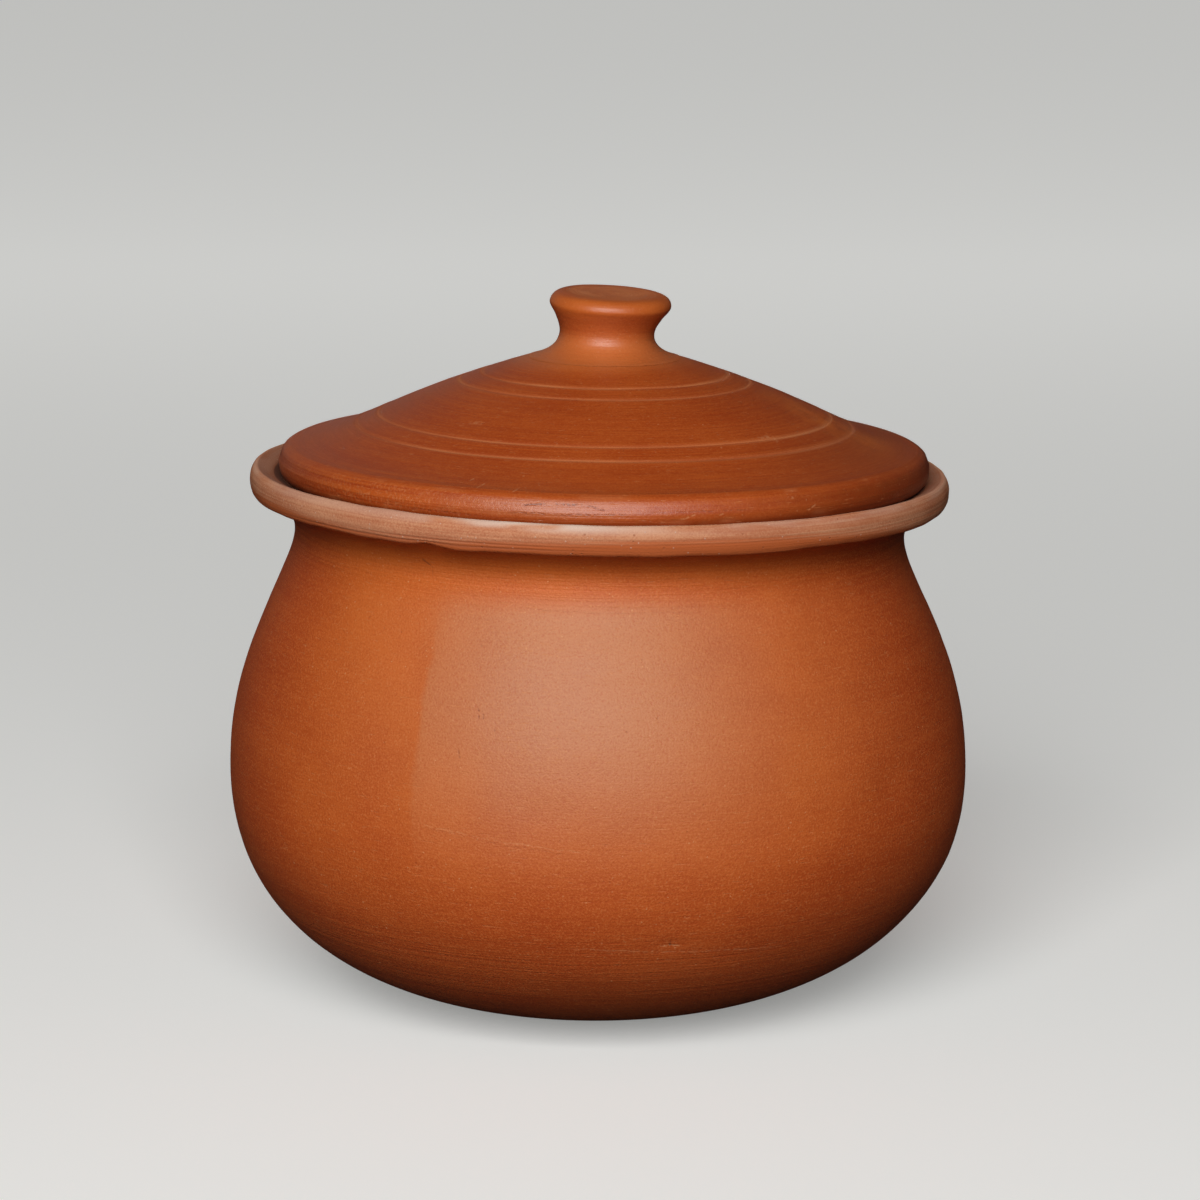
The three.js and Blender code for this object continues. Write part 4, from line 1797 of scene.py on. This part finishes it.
@dataclass(frozen=True)
class Lamp:
    """A soft rectangular lamp that faces the pot.

    Attributes:
        name: What it is called.
        around: Degrees around from the front, where it stands.
        elevation: Degrees above the floor.
        distance: Metres from the pot.
        size: Its width and height in metres.
        power: Its power in watts.
        mirrored: Whether it shows in the gloss of the slip.
    """

    name: str
    around: float
    elevation: float
    distance: float
    size: Span
    power: float
    mirrored: bool = True

    def hang(self, target: Vector) -> bpy.types.Object:
        """Makes the lamp.

        Args:
            target: The place that it faces.

        Returns:
            The lamp.
        """
        data = bpy.data.lights.new(self.name, "AREA")
        data.shape = "RECTANGLE"
        data.size, data.size_y = self.size
        data.energy = self.power
        turn, rise = math.radians(self.around), math.radians(self.elevation)
        away = Vector((math.sin(turn) * math.cos(rise), -math.cos(turn) * math.cos(rise), math.sin(rise)))
        made = bpy.data.objects.new(self.name, data)
        made.location = target + away * self.distance
        made.rotation_euler = away.to_track_quat("Z", "Y").to_euler()
        made.visible_camera = False
        made.visible_glossy = self.mirrored
        bpy.context.scene.collection.objects.link(made)
        return made


@dataclass
class Studio:
    """A pale floor, soft light from the front, a fainter lamp for the back, and the camera.

    Attributes:
        eye: Where the camera stands, in metres.
        pitch: How far it looks down.
        lens: Its focal length.
        sensor: The side of its square sensor.
        clip: The nearest and the farthest thing that it sees, in metres.
        aim: The height that the lamps face, in metres.
        floor_reach: How far the floor goes to each side, in metres.
        floor_drop: How far it lies under the pot, in metres.
        floor_shown: Its colour to the camera.
        floor_bounce: Its colour to the pot.
        floor_glow: How much it glows to the camera, near and far.
        floor_far: Where it is near and far, in millimetres behind the pot.
        room: The dim light from all round.
        room_left: The light from behind the pot at the left.
        room_shown: The room's colour to the camera.
        front: The lamp at the front.
        rear: The lamp at the back.
    """

    eye: tuple[float, float, float] = (0.00085, -0.7233, 0.2262)
    pitch: float = 11.31
    lens: float = 105.0
    sensor: float = 36.0
    clip: Span = (0.01, 100.0)
    aim: float = 0.07
    floor_reach: float = 14.0
    floor_drop: float = 0.0003
    floor_shown: Colour = (0.74, 0.74, 0.72)
    floor_bounce: Colour = (0.04, 0.04, 0.04)
    floor_glow: Span = (0.33, 0.68)
    floor_far: Span = (0.0, 1600.0)
    room: Colour = (0.015, 0.015, 0.015)
    room_left: Colour = (0.15, 0.155, 0.15)
    room_shown: Colour = (0.86, 0.86, 0.85)
    front: Lamp = Lamp("front", -6.0, 28.5, 1.9, (1.5, 1.15), 46.0)
    rear: Lamp = Lamp("rear", 180.0, 7.0, 1.9, (1.1, 0.5), 24.0, mirrored=False)

    def build(self) -> None:
        """Sets up the whole studio."""
        scene = bpy.context.scene
        scene.view_settings.view_transform = "Standard"
        floor = self._floor()
        self._world()
        middle = Vector((0.0, 0.0, self.aim))
        self.front.hang(middle)
        self._keep_off(self.rear.hang(middle), floor)
        data = bpy.data.cameras.new("camera")
        data.lens, data.sensor_width, data.sensor_height = self.lens, self.sensor, self.sensor
        data.clip_start, data.clip_end = self.clip
        camera = bpy.data.objects.new("camera", data)
        camera.location = self.eye
        camera.rotation_euler = (math.radians(90.0 - self.pitch), 0.0, 0.0)
        scene.collection.objects.link(camera)
        scene.camera = camera

    def _seen(self, shader: Shader) -> Wire:
        """1 where the camera looks straight at a surface."""
        return shader.node("ShaderNodeLightPath", output="Is Camera Ray")

    def _keep_off(self, lamp: bpy.types.Object, floor: bpy.types.Object) -> None:
        """Keeps a lamp's light off the floor.

        Args:
            lamp: The lamp.
            floor: The floor.
        """
        unlit = bpy.data.collections.new("unlit_floor")
        unlit.objects.link(floor)
        unlit.collection_objects[0].light_linking.link_state = "EXCLUDE"
        lamp.light_linking.receiver_collection = unlit

    def _floor(self) -> bpy.types.Object:
        """Makes a broad pale floor that looks brighter to the camera than the light it throws back.

        Returns:
            The floor.
        """
        sides = ((-1, -1), (1, -1), (1, 1), (-1, 1))
        corners = [(x * self.floor_reach, y * self.floor_reach, 0.0) for x, y in sides]
        data = bpy.data.meshes.new("floor")
        data.from_pydata(corners, [], [range(len(corners))])
        floor = bpy.data.objects.new("floor", data)
        floor.location.z = -self.floor_drop
        bpy.context.scene.collection.objects.link(floor)
        made = bpy.data.materials.new("floor")
        shader = Shader(made)
        seen = self._seen(shader)
        covers = (self.floor_bounce, self.floor_shown)
        unseen, shown = (shader.node("ShaderNodeBsdfDiffuse", None, {"Color": cover}) for cover in covers)
        spread = shader.node("ShaderNodeMixShader", None, {0: seen, 1: unseen, 2: shown})
        far = shader.node("ShaderNodeSeparateXYZ", None, {0: shader.place()}, "Y").rise(*self.floor_far)
        strength = seen * (far * (self.floor_glow[1] - self.floor_glow[0]) + self.floor_glow[0])
        tint = shader.blend(strength, (0.0, 0.0, 0.0), self.floor_shown)
        glow = shader.node("ShaderNodeEmission", None, {"Color": tint, "Strength": 1.0})
        shader.finish(shader.node("ShaderNodeAddShader", None, {0: spread, 1: glow}))
        data.materials.append(made)
        return floor

    def _world(self) -> None:
        """A dim room that is lighter behind the pot at the left, all of it pale to the camera."""
        world = bpy.data.worlds.new("studio")
        shader = Shader(world)
        way = shader.node("ShaderNodeTexCoord", output="Generated")
        x, y, z = (shader.node("ShaderNodeSeparateXYZ", None, {0: way}, axis) for axis in "XYZ")
        behind = y.rise(0.2, 0.7) * z.rise(0.75, 0.35)
        light = shader.blend(behind * (x.rise(0.15, -0.15) * 0.85 + 0.15), self.room, self.room_left)
        tint = shader.blend(self._seen(shader), light, self.room_shown)
        shader.finish(shader.node("ShaderNodeBackground", None, {"Color": tint}))
        bpy.context.scene.world = world


def main() -> None:
    """Builds the studio and the pieces in order."""
    logging.basicConfig(level=logging.INFO, format="%(name)s: %(message)s")
    Studio().build()
    bowl = Bowl()
    collar = Collar(bowl)
    lid = Lid(collar)
    finish = LidSlip("lid_slip").material()
    for piece in (bowl.build(), collar.build(), lid.dome(finish), lid.knob(finish)):
        log.info("%s has %d faces", piece.name, len(piece.data.polygons))


if __name__ == "__main__":
    main()
